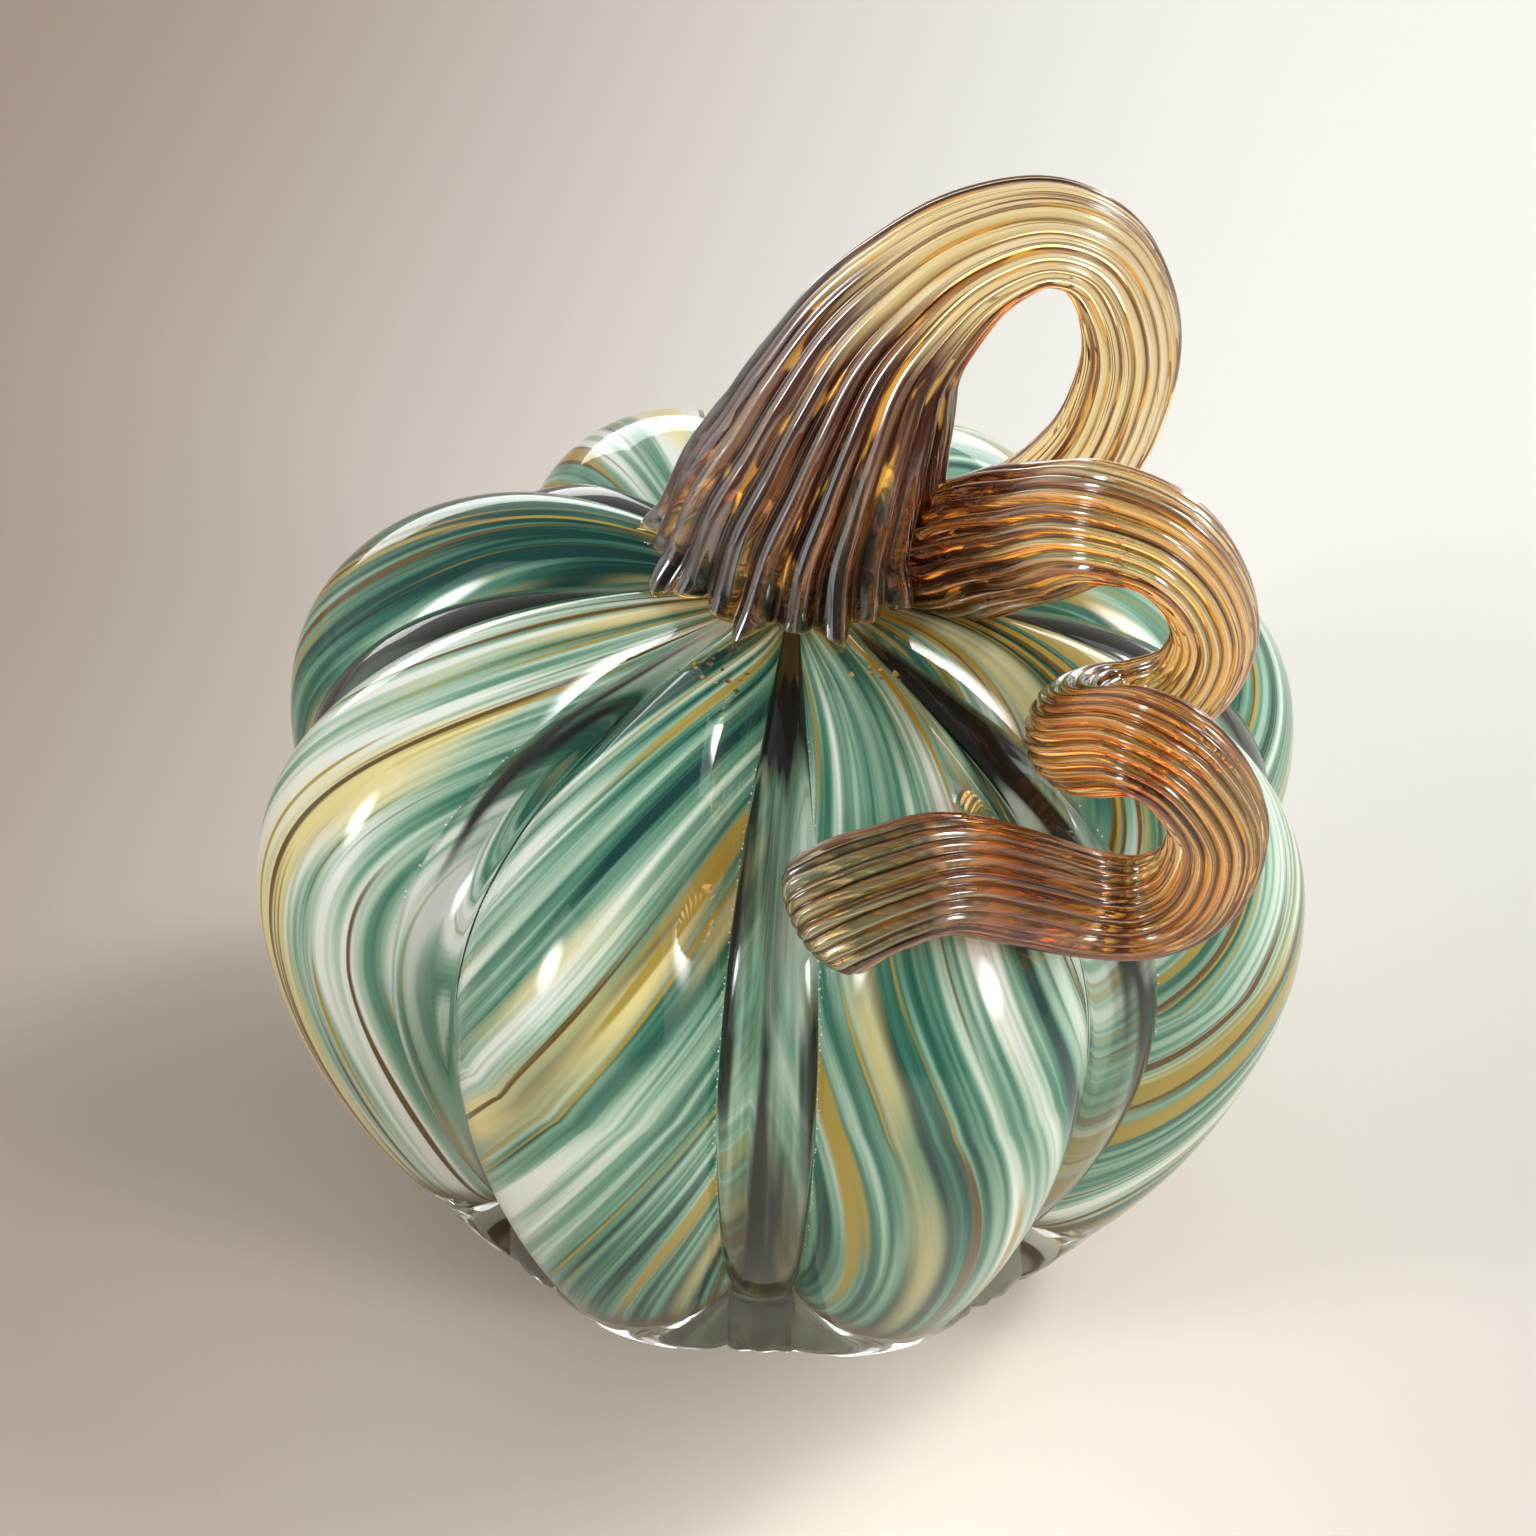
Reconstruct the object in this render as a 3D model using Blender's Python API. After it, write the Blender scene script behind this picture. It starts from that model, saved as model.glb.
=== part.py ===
"""A blown glass pumpkin: three nested lobed shells of glass, with a ribbed amber stem and a wound tendril.

The body is a core bubble, a colour layer and a clear casing, each with the neck hole in its crown. The stem's
root stands in that hole, its foot spreads over the crown and its end is pulled over into a loop. The tendril
starts on the stem's flank, makes two open turns and runs out in a tail across the front lobes.

Metres, +Z up, the front at -Y. The origin is the middle of the flat underside.
"""

import math

import bmesh
import bpy
import numpy as np

MM = 0.001
OBJECT_NAME = "glass_pumpkin"
TOUCH_GAP = 0.3 * MM

# Body, outer surface
LOBE_COUNT = 8
LOBE_RADIUS = 76.0 * MM
WIDEST_HEIGHT = 60.5 * MM
CROWN_RISE = 50.0 * MM
BASE_DROP = 88.8 * MM
CROWN_DIP = 9.5 * MM
CROWN_DIP_WIDTH = 30.0 * MM
CROWN_FULLNESS = 1.27
BASE_FULLNESS = 1.24
CROWN_SLOPE = 0.82
BASE_SLOPE = 1.2
LOBE_PITCH = 2 * math.pi / LOBE_COUNT
LOBE_HALF_ANGLE = math.radians(16.85)
LOBE_ROUNDNESS = 0.64
GROOVE_SHARE = 0.131
RIB_SHARE = 0.194
LOBE_FADE = 0.6
WEB_HEIGHT = 9.0 * MM
WEB_SHARE = 0.8

# Body, layers: how far each surface lies inside the casing's, and the height of its flat underside
CASING_WALL = 2.5 * MM
CASING_FLOOR = 8.0 * MM
COLOUR_WALL = 1.8 * MM
CORE_WALL = 3.1 * MM
COLOUR_GROOVE_SHARE = 0.30
COLOUR_ROUNDNESS = 0.90
NECK_HOLE_RADIUS = 8.3 * MM
INNER_NECK_HOLE_RADIUS = 10.0 * MM
NECK_DRILL_TOP = 115.0 * MM

# Amber glass: ribs and the routes of the two pulled bits
RIB_COUNT = 22
RIB_GROOVE = 0.87
RING_STEP = 4.4 * MM
SQUARE_END = 0.1 * MM
NECK_CENTRE = (0.5 * MM, 3.0 * MM)
ROOT_RADIUS = NECK_HOLE_RADIUS - TOUCH_GAP
ROOT_BOTTOM = 97.0 * MM
ROOT_TOP = 110.0 * MM
STEM_SPLIT = 6
FLANK_TOP = 5
TENDRIL_FIRST_SPLIT = 11
TENDRIL_SECOND_SPLIT = 18
TIP_ROUNDING = 5.0 * MM
TIP_RINGS = 4

# Points of each route in millimetres: x, y, z and the radius over the ribs
STEM_ROUTE = (
    (0.5, 3.0, 93.5, 19.6),
    (0.0, 3.0, 99.0, 20.0),
    (0.5, 3.0, 104.0, 19.6),
    (1.5, 3.0, 111.5, 18.3),
    (4.0, 3.0, 119.5, 16.4),
    (6.5, 3.0, 127.5, 14.6),
    (10.0, 3.5, 136.5, 12.2),
    (15.0, 4.0, 143.5, 10.5),
    (21.0, 4.5, 149.5, 9.0),
    (28.0, 5.0, 153.0, 7.8),
    (33.5, 5.5, 153.0, 7.2),
    (38.5, 6.0, 150.0, 6.8),
    (42.0, 6.5, 143.5, 6.7),
    (43.5, 7.0, 135.5, 6.7),
    (42.5, 7.0, 127.5, 6.7),
    (40.0, 7.0, 120.0, 6.8),
    (35.5, 8.0, 113.0, 6.8),
    (30.5, 9.0, 108.5, 6.4),
    (25.5, 9.5, 107.0, 5.6),
)
TENDRIL_ROUTE = (
    (19.5, -8.0, 110.0, 10.0),
    (25.0, -15.0, 117.0, 9.7),
    (32.0, -23.0, 125.0, 9.2),
    (39.0, -30.0, 131.5, 8.1),
    (47.0, -33.0, 131.0, 7.2),
    (52.5, -33.0, 125.0, 6.3),
    (55.0, -32.0, 116.5, 5.8),
    (52.5, -31.0, 108.0, 5.8),
    (46.5, -30.0, 103.5, 6.1),
    (41.0, -32.0, 103.0, 6.6),
    (38.0, -40.0, 106.0, 7.0),
    (39.0, -51.0, 112.0, 7.1),
    (45.0, -59.0, 118.0, 7.0),
    (51.0, -61.0, 115.5, 6.8),
    (55.5, -60.0, 106.5, 6.5),
    (54.0, -58.0, 96.0, 6.6),
    (48.0, -56.0, 90.0, 6.8),
    (40.0, -56.0, 90.0, 7.1),
    (30.5, -59.0, 94.5, 7.6),
    (21.5, -63.0, 99.0, 7.9),
    (14.0, -66.0, 98.5, 8.1),
    (8.5, -67.0, 96.0, 8.6),
    (4.0, -67.0, 92.5, 8.2),
)

# Facets: the lobe's columns in shares of its half angle, or of half its pitch, and the number of rows
CASING_LOBE_STEPS = (-0.72, -0.36, 0.0, 0.36, 0.72)
COLOUR_COLUMN_STEPS = (-1.0, -0.8, -0.42, 0.0, 0.42, 0.8)
CROWN_ROWS = 8
SIDE_ROWS = 6
FLAT_ROWS = 2
INNER_CROWN_ROWS = 6
INNER_SIDE_ROWS = 3
ROUTE_FINENESS = 40
DRILL_SIDES = 32
SHARP_ANGLE = math.radians(40)
WELD_DISTANCE = 0.001 * MM

# Glass: colour, roughness and how much light goes through
CLEAR_GLASS = ((0.90, 0.95, 0.93, 1.0), 0.02, 1.0)
STREAKED_GLASS = ((0.13, 0.36, 0.30, 1.0), 0.15, 0.0)
AMBER_GLASS = ((0.42, 0.20, 0.05, 1.0), 0.05, 0.6)


def glass(name, colour, roughness, transmission):
    """A glass material with its own colour."""
    material = bpy.data.materials.new(name)
    material.use_nodes = True
    shader = material.node_tree.nodes["Principled BSDF"]
    shader.inputs["Base Color"].default_value = colour
    shader.inputs["Roughness"].default_value = roughness
    shader.inputs["Metallic"].default_value = 0.0
    shader.inputs["Transmission Weight"].default_value = transmission
    material.diffuse_color = colour
    return material


def casing_lobe(angle):
    """Depth at an angle from a lobe's crest: the lobe falls to 1 at the groove, then a narrow rib rises."""
    edge = LOBE_HALF_ANGLE
    if angle < edge:
        return round_lobe(angle / edge, LOBE_ROUNDNESS)
    across_rib = (LOBE_PITCH / 2 - angle) / (LOBE_PITCH / 2 - edge)
    return 1 - RIB_SHARE * math.sqrt(max(0.0, 1 - across_rib**2))


def colour_lobe(angle):
    """Depth at an angle from a lobe's crest: one round lobe that falls to 1 at the bottom of the groove."""
    return round_lobe(angle / (LOBE_PITCH / 2), COLOUR_ROUNDNESS)


def round_lobe(share, roundness):
    """An arc that falls from 0 at the crest to 1 at the edge, steeper there with more roundness."""
    fall = 1 - math.sqrt(max(0.0, 1 - roundness * share**2))
    return fall / (1 - math.sqrt(1 - roundness))


def flat_polar(inset, floor):
    """The polar angle at which a layer's crest line meets its flat underside."""
    return math.acos(-(((WIDEST_HEIGHT - floor) / (BASE_DROP - inset)) ** (1 / BASE_SLOPE)))


def soft_step(share):
    """A step from 0 to 1 that starts and ends level."""
    share = max(0.0, min(1.0, share))
    return share * share * (3 - 2 * share)


def body_point(polar, turn, inset, floor, groove, lobe, web_share):
    """A point of a lobed layer: the crest profile, drawn in towards the body's middle by the lobe's depth.

    The lobes fade out towards the poles, and a web of glass at the foot fills a share of the grooves.
    """
    sine, cosine = math.sin(polar), math.cos(polar)
    if cosine >= 0:
        radius = (LOBE_RADIUS - inset) * sine**CROWN_FULLNESS
        rise = (CROWN_RISE - inset) * cosine**CROWN_SLOPE
    else:
        radius = (LOBE_RADIUS - inset) * sine**BASE_FULLNESS
        rise = -(BASE_DROP - inset) * (-cosine) ** BASE_SLOPE
    fade = soft_step(sine / LOBE_FADE)
    web = soft_step(1 - (WIDEST_HEIGHT + rise) / WEB_HEIGHT)
    from_crest = abs(turn % LOBE_PITCH - LOBE_PITCH / 2)
    keep = 1 - groove * fade * lobe(from_crest) * (1 - web_share * web)
    radius *= keep
    height = WIDEST_HEIGHT + rise * keep
    if cosine > 0:
        height -= CROWN_DIP * math.exp(-((radius / CROWN_DIP_WIDTH) ** 2))
    return radius * math.sin(turn), -radius * math.cos(turn), max(height, floor)


def casing_columns():
    """Turn angles of the casing's columns: each lobe's own, then its groove and the rib beyond it."""
    rib_half = LOBE_PITCH / 2 - LOBE_HALF_ANGLE
    columns = []
    for lobe in range(LOBE_COUNT):
        start = lobe * LOBE_PITCH
        crest = start + LOBE_PITCH / 2
        columns += [start, start + rib_half / 2, crest - LOBE_HALF_ANGLE]
        columns += [crest + step * LOBE_HALF_ANGLE for step in CASING_LOBE_STEPS]
        columns += [crest + LOBE_HALF_ANGLE, start + LOBE_PITCH - rib_half / 2]
    return columns


def colour_columns():
    """Turn angles of an inner layer's columns."""
    crests = [(lobe + 0.5) * LOBE_PITCH for lobe in range(LOBE_COUNT)]
    return [crest + step * LOBE_PITCH / 2 for crest in crests for step in COLOUR_COLUMN_STEPS]


def polar_rows(flat, crown_rows, side_rows):
    """Polar angles from the crown to the widest ring, to the flat's edge and to the flat's middle."""
    crown = np.linspace(0, math.pi / 2, crown_rows, endpoint=False)
    side = np.linspace(math.pi / 2, flat, side_rows, endpoint=False)
    return [*crown, *side, *np.linspace(flat, math.pi, FLAT_ROWS + 1)]


def shaped_ball(name, columns, rows, inset, floor, groove, lobe, web_share):
    """A mesh object: a ball whose rows and columns are moved on to a lobed layer."""
    bm = bmesh.new()
    bmesh.ops.create_uvsphere(bm, u_segments=len(columns), v_segments=len(rows) - 1, radius=1)
    for vert in bm.verts:
        row = round(math.acos(max(-1.0, min(1.0, vert.co.z))) / math.pi * (len(rows) - 1))
        column = round(math.atan2(vert.co.x, -vert.co.y) / (2 * math.pi) * len(columns))
        turn = columns[column % len(columns)]
        vert.co = body_point(rows[row], turn, inset, floor, groove, lobe, web_share)
    bmesh.ops.triangulate(bm, faces=bm.faces, quad_method="FIXED")
    bmesh.ops.recalc_face_normals(bm, faces=bm.faces)
    return mesh_object(name, bm)


def mesh_object(name, bm):
    """Put a bmesh into a new object."""
    mesh = bpy.data.meshes.new(name)
    bm.to_mesh(mesh)
    bm.free()
    mesh.shade_smooth()
    mesh.set_sharp_from_angle(angle=SHARP_ANGLE)
    return bpy.data.objects.new(name, mesh)


def outer_ball(name, grow):
    """The casing's outer surface, grown outwards by a small gap."""
    rows = polar_rows(flat_polar(-grow, -grow), CROWN_ROWS, SIDE_ROWS)
    return shaped_ball(name, casing_columns(), rows, -grow, -grow, GROOVE_SHARE, casing_lobe, WEB_SHARE)


def inner_ball(name, inset, floor):
    """A layer under the casing."""
    rows = polar_rows(flat_polar(inset, floor), INNER_CROWN_ROWS, INNER_SIDE_ROWS)
    return shaped_ball(name, colour_columns(), rows, inset, floor, COLOUR_GROOVE_SHARE, colour_lobe, 0.0)


def cylinder(name, radius, bottom, top):
    """An upright round bar on the neck's centre line."""
    bm = bmesh.new()
    bmesh.ops.create_cone(
        bm, cap_ends=True, segments=DRILL_SIDES, radius1=radius, radius2=radius, depth=top - bottom
    )
    bmesh.ops.translate(bm, verts=bm.verts, vec=(*NECK_CENTRE, (bottom + top) / 2))
    return mesh_object(name, bm)


def smooth_route(route):
    """A Catmull-Rom curve through the route's points, in metres, with the arc length at each sample."""
    points = np.array(route) * MM
    ends = np.vstack([2 * points[0] - points[1], points, 2 * points[-1] - points[-2]])
    share = np.linspace(0, 1, ROUTE_FINENESS, endpoint=False)[:, None]
    pieces = []
    for before, start, end, after in zip(ends, ends[1:], ends[2:], ends[3:]):
        slope = (end - before) * share
        bend = (2 * before - 5 * start + 4 * end - after) * share**2
        twist = (3 * start - before - 3 * end + after) * share**3
        pieces.append(start + (slope + bend + twist) / 2)
    samples = np.vstack([*pieces, points[-1:]])
    steps = np.linalg.norm(np.diff(samples[:, :3], axis=0), axis=1)
    return samples, np.concatenate([[0], np.cumsum(steps)])


def stretch(route, first, last, rounded_tip=False):
    """Rings of the route from one of its points to another, less half the touching gap at inner ends."""
    samples, length = smooth_route(route)
    start = length[first * ROUTE_FINENESS] + (TOUCH_GAP / 2 if first else 0)
    end = length[last * ROUTE_FINENESS] - (TOUCH_GAP / 2 if last < len(route) - 1 else 0)
    body_end = end - TIP_ROUNDING if rounded_tip else end
    marks = np.linspace(start, body_end, max(2, round((body_end - start) / RING_STEP)) + 1)
    square_ends = [start + SQUARE_END, body_end - SQUARE_END]
    marks = np.sort(np.concatenate([marks, square_ends]))
    if rounded_tip:
        quarter = np.linspace(0, 1, TIP_RINGS + 1)[1:-1] * math.pi / 2
        marks = np.concatenate([marks, body_end + TIP_ROUNDING * np.sin(quarter)])
    rings = np.stack([np.interp(marks, length, samples[:, axis]) for axis in range(4)], axis=1)
    if rounded_tip:
        rings[-len(quarter) :, 3] *= np.cos(quarter)
    return rings


def rib_section(guides):
    """The star-shaped section of the ribbed amber rods, one unit in radius over the ribs."""
    curve = bpy.data.curves.new("rib_section", "CURVE")
    spline = curve.splines.new("POLY")
    sides = 2 * RIB_COUNT
    spline.points.add(sides - 1)
    for index, point in enumerate(spline.points):
        radius = RIB_GROOVE if index % 2 else 1.0
        angle = 2 * math.pi * index / sides
        point.co = (radius * math.cos(angle), radius * math.sin(angle), 0, 1)
    spline.use_cyclic_u = True
    section = bpy.data.objects.new("rib_section", curve)
    keep_as_guide(section, guides)
    return section


def ribbed_rod(name, rings, section, grow=0.0):
    """A rod with the ribbed section along the rings, made a closed mesh."""
    curve = bpy.data.curves.new(name, "CURVE")
    curve.dimensions = "3D"
    curve.bevel_mode = "OBJECT"
    curve.bevel_object = section
    curve.use_fill_caps = True
    spline = curve.splines.new("POLY")
    spline.points.add(len(rings) - 1)
    for point, ring in zip(spline.points, rings):
        point.co = (*ring[:3], 1)
        point.radius = ring[3] + grow
    guide = bpy.data.objects.new(name + "_route", curve)
    bpy.context.scene.collection.objects.link(guide)
    graph = bpy.context.evaluated_depsgraph_get()
    mesh = bpy.data.meshes.new_from_object(guide.evaluated_get(graph))
    bpy.data.objects.remove(guide)
    bm = bmesh.new()
    bm.from_mesh(mesh)
    bpy.data.meshes.remove(mesh)
    bmesh.ops.remove_doubles(bm, verts=bm.verts, dist=WELD_DISTANCE)
    bmesh.ops.recalc_face_normals(bm, faces=bm.faces)
    if bm.calc_volume(signed=True) < 0:
        bmesh.ops.reverse_faces(bm, faces=bm.faces)
    return mesh_object(name, bm)


def keep_as_part(obj, parts, material):
    """Link a finished piece to the object's collection and give it its glass."""
    obj.data.materials.clear()
    obj.data.materials.append(material)
    parts.objects.link(obj)


def keep_as_guide(obj, guides):
    """Link a cutter or guide, which isn't a piece."""
    obj.hide_render = True
    obj.display_type = "WIRE"
    guides.objects.link(obj)


def combine(obj, other, operation):
    """Cut one solid from another, or join them."""
    modifier = obj.modifiers.new(operation.title() + " " + other.name, "BOOLEAN")
    modifier.operation = operation
    modifier.solver = "EXACT"
    modifier.object = other


def make_body(parts, guides):
    """The casing, the colour layer and the core bubble, each hollow and open at the neck."""
    colour_inset = CASING_WALL + TOUCH_GAP
    core_inset = colour_inset + COLOUR_WALL + TOUCH_GAP
    layers = (
        ("clear_casing", None, CASING_WALL, NECK_HOLE_RADIUS, CLEAR_GLASS),
        ("colour_layer", colour_inset, COLOUR_WALL, INNER_NECK_HOLE_RADIUS, STREAKED_GLASS),
        ("core_bubble", core_inset, CORE_WALL, INNER_NECK_HOLE_RADIUS, CLEAR_GLASS),
    )
    floor_lift = CASING_FLOOR - CASING_WALL
    for name, inset, wall, neck_radius, look in layers:
        layer = outer_ball(name, 0.0) if inset is None else inner_ball(name, inset, inset + floor_lift)
        hollow_inset = (inset or 0.0) + wall
        hollow = inner_ball(name + "_hollow", hollow_inset, hollow_inset + floor_lift)
        drill = cylinder(name + "_neck_drill", neck_radius, WIDEST_HEIGHT, NECK_DRILL_TOP)
        for cutter in (hollow, drill):
            keep_as_guide(cutter, guides)
            combine(layer, cutter, "DIFFERENCE")
        keep_as_part(layer, parts, glass(name + " glass", *look))


def make_stem(parts, guides, section, crown):
    """The stem in two lengths: the trunk with its foot and its root in the neck, and the pulled loop."""
    amber = glass("amber stem glass", *AMBER_GLASS)
    trunk = ribbed_rod("stem_trunk", stretch(STEM_ROUTE, 0, STEM_SPLIT), section)
    root = cylinder("stem_root", ROOT_RADIUS, ROOT_BOTTOM, ROOT_TOP)
    keep_as_guide(root, guides)
    combine(trunk, crown, "DIFFERENCE")
    combine(trunk, root, "UNION")
    keep_as_part(trunk, parts, amber)
    flank = ribbed_rod("stem_flank", stretch(STEM_ROUTE, 0, FLANK_TOP), section, TOUCH_GAP)
    keep_as_guide(flank, guides)
    loop = ribbed_rod("stem_loop", stretch(STEM_ROUTE, STEM_SPLIT, len(STEM_ROUTE) - 1), section)
    keep_as_part(loop, parts, amber)
    return flank


def make_tendril(parts, section, crown, flank):
    """The tendril in three lengths: two open turns and the tail with its blunt tip."""
    amber = glass("amber tendril glass", *AMBER_GLASS)
    last = len(TENDRIL_ROUTE) - 1
    upper = ribbed_rod("tendril_upper_turn", stretch(TENDRIL_ROUTE, 0, TENDRIL_FIRST_SPLIT), section)
    combine(upper, flank, "DIFFERENCE")
    lower_rings = stretch(TENDRIL_ROUTE, TENDRIL_FIRST_SPLIT, TENDRIL_SECOND_SPLIT)
    lower = ribbed_rod("tendril_lower_turn", lower_rings, section)
    tail = ribbed_rod("tendril_tail", stretch(TENDRIL_ROUTE, TENDRIL_SECOND_SPLIT, last, True), section)
    for length in (upper, lower, tail):
        combine(length, crown, "DIFFERENCE")
        keep_as_part(length, parts, amber)


def main():
    for obj in list(bpy.data.objects):
        bpy.data.objects.remove(obj)
    parts = bpy.data.collections.new(OBJECT_NAME)
    guides = bpy.data.collections.new(OBJECT_NAME + "_cutters")
    for collection in (parts, guides):
        bpy.context.scene.collection.children.link(collection)
    make_body(parts, guides)
    section = rib_section(guides)
    crown = outer_ball("crown_clearance", TOUCH_GAP)
    keep_as_guide(crown, guides)
    flank = make_stem(parts, guides, section, crown)
    make_tendril(parts, section, crown, flank)


main()
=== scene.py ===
"""A blown glass pumpkin with a ribbed amber stem and tendril, laid out as an add-on.

A clear lobed casing holds a layer of streaked colour. Two bits of ribbed amber glass sit on its crown: the
stem, pulled over into a loop, and the tendril, wound down over the front lobes.

Metres, +Z up, the front at -Y. Turn is the angle round the body from the front towards +X. Polar is the
angle down from the crown.
"""

import math

import bpy
import numpy as np
from bpy.props import FloatProperty, FloatVectorProperty, IntProperty, PointerProperty
from bpy.types import Operator, Panel, PropertyGroup
from mathutils import Matrix


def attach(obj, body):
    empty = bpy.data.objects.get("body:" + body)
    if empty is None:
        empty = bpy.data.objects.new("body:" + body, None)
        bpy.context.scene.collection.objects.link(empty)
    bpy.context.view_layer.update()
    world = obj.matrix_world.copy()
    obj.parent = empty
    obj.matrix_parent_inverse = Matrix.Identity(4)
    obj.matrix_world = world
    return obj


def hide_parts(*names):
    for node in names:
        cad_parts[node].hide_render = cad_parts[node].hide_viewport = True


bl_info = {
    "name": "Glass Pumpkin",
    "version": (1, 0, 0),
    "blender": (4, 5, 0),
    "location": "3D View > Sidebar > Pumpkin",
    "description": "Builds a blown glass pumpkin with a ribbed amber stem and tendril",
    "category": "Add Mesh",
}

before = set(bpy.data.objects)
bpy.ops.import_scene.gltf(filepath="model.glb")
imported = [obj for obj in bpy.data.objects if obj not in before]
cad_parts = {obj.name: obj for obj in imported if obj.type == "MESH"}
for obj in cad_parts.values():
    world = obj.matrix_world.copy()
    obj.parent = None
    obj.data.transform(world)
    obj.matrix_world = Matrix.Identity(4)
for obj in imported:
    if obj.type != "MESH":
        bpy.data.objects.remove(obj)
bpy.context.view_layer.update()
BODY = "root"
MM = 0.001
WHITE = (1.0, 1.0, 1.0)
GLASS_IOR = 1.5

# Routes of the two amber bits in millimetres: x, y, z and the radius over the ribs
STEM_ROUTE = (
    (0.5, 3.0, 93.5, 19.6),
    (0.0, 3.0, 99.0, 20.0),
    (0.5, 3.0, 104.0, 19.6),
    (1.5, 3.0, 111.5, 18.3),
    (4.0, 3.0, 119.5, 16.4),
    (6.5, 3.0, 127.5, 14.6),
    (10.0, 3.5, 136.5, 12.2),
    (15.0, 4.0, 143.5, 10.5),
    (21.0, 4.5, 149.5, 9.0),
    (28.0, 5.0, 153.0, 7.8),
    (33.5, 5.5, 153.0, 7.2),
    (38.5, 6.0, 150.0, 6.8),
    (42.0, 6.5, 143.5, 6.7),
    (43.5, 7.0, 135.5, 6.7),
    (42.5, 7.0, 127.5, 6.7),
    (40.0, 7.0, 120.0, 6.8),
    (35.5, 8.0, 113.0, 6.8),
    (30.5, 9.0, 108.5, 6.4),
    (25.5, 9.5, 107.0, 5.6),
)
TENDRIL_ROUTE = (
    (19.0, 2.0, 104.0, 9.4),
    (24.5, -4.5, 110.0, 9.9),
    (28.5, -13.0, 117.5, 9.7),
    (33.0, -22.5, 125.0, 9.2),
    (39.0, -30.0, 131.5, 8.1),
    (47.0, -33.0, 131.0, 7.2),
    (52.5, -33.0, 125.0, 6.3),
    (55.0, -32.0, 116.5, 5.8),
    (52.5, -31.0, 108.0, 5.8),
    (46.5, -30.0, 103.5, 6.1),
    (41.0, -32.0, 103.0, 6.6),
    (38.0, -40.0, 106.0, 7.0),
    (39.0, -51.0, 112.0, 7.1),
    (45.0, -59.0, 118.0, 7.0),
    (51.0, -61.0, 115.5, 6.8),
    (55.5, -60.0, 106.5, 6.5),
    (54.0, -58.0, 96.0, 6.6),
    (48.0, -56.0, 90.0, 6.8),
    (40.0, -56.0, 90.0, 7.1),
    (30.5, -59.0, 94.5, 7.6),
    (21.5, -63.0, 99.0, 7.9),
    (14.0, -66.0, 98.5, 8.1),
    (8.5, -67.0, 96.0, 8.6),
    (4.0, -67.0, 92.5, 8.2),
)

# How far the streaks drift round the body for each degree down it, lobe by lobe from the front towards +X
STREAK_DRIFT = (0.08, -0.75, -0.5, -0.4, -0.4, 0.05, -0.15, -0.62)

# How much paler than the middle tone and how golden each lobe is, in the same order; the fourth and fifth,
# the back lobes, are paler by painted reflection
LOBE_PALE_AND_SHEEN = (-0.02, 0.0, -0.08, 0.25, 0.30, -0.18, 0.29, -0.01)
LOBE_GOLD = (0.40, 0.95, 0.6, 0.5, 0.5, 0.35, 0.75, 0.50)

# The fold behind each rib, from the front rib towards +X: how dark its painted shade is, how much of it is
# drawn straight down, and how far painted shade darkens it towards the crown
FOLD_SHADE = (0.14, 0.35, 0.75, 0.50, 0.42, 0.50, 0.90, 0.36)
FOLD_PLUMB = (0.7, 0.5, 0.9, 0.6, 0.6, 0.6, 1.0, 0.0)
FOLD_CROWN_SHADE = (1.0, 0.85, 0.9, 0.9, 0.9, 0.9, 0.6, 0.0)

# Body: the lobes' arc, the sine at which they are full, the grids, the underside's rounding, search steps
LOBE_ROUNDNESS = 0.64
LOBE_FADE = 0.6
CASING_GRID = {"per_lobe": 36, "per_rib": 14, "rows": 180}
COLOUR_GRID = {"per_lobe": 30, "per_rib": 10, "rows": 160}
CASING_ROUNDING = 0.001
COLOUR_ROUNDING = 0.006
HALVINGS = 40

# Lumps in the clear foot: waves round the body, their sway, their step in height, and where they end
FOOT_WAVES = 61
FOOT_SWAY = 17
FOOT_STEP = 0.0015
FOOT_TOP = 0.007
FOOT_END_POLAR = 2.6

# Colour layer: where a fold ends across a rib, the blend there, how far it drops, and its darkest painted
# shade
FOLD_EDGE = 1.1
FOLD_BLEND = 0.3
FOLD_DROP = 0.003
FOLD_DARKEST_SHADE = 0.97

# Streaks: the polar angle about which they drift, the reach of the drift, and their sway
DRIFT_MIDDLE = math.radians(80)
DRIFT_REACH = math.radians(60)
STREAK_SWAY = math.radians(3)

# Changes down the colour layer, painted shade near the crown and painted light on the underside among them:
# where each starts, as a polar angle or a depth under its floor, and width
CROWN_FOLD_SHADE = (0.42, 0.50)
CROWN_SHADE = (0.6, 0.6)
CROWN_SHADE_DEPTH = 0.07
FOLD_RUST = (1.65, 0.5)
RUSTY_EDGE = (-0.0075, 0.0040)
PAINTED_LIGHT_UNDERSIDE = (-0.0020, 0.0015)

# Drawn streaks: scale across, share of it along, shift, and the low and high marks of the mask
BROAD_STREAKS = (5.0, 0.14, 2.0, 0.34, 0.66)
MIDDLING_STREAKS = (12.0, 0.05, 3.0, 0.34, 0.66)
FINE_STREAKS = (36.0, 0.02, 7.0, 0.34, 0.66)
FOLD_STREAKS = (30.0, 0.04, 31.0, 0.30, 0.70)
RUST_STREAKS = (22.0, 0.04, 37.0, 0.36, 0.60)
SHADE_VEINS = (16.0, 0.05, 47.0, 0.32, 0.68)
AMBER_UNEVEN = (5.0, 0.02, 21.0, 0.30, 0.70)
AMBER_SPECKS = (14.0, 0.80, 71.0, 0.55, 0.62)
AMBER_PATCHES = (4.0, 0.05, 61.0, 0.60, 0.66)
AMBER_LINES = (7.0, 0.03, 5.0, 0.57, 0.63)
AMBER_THREADS = (20.0, 0.02, 41.0, 0.60, 0.63)
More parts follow.
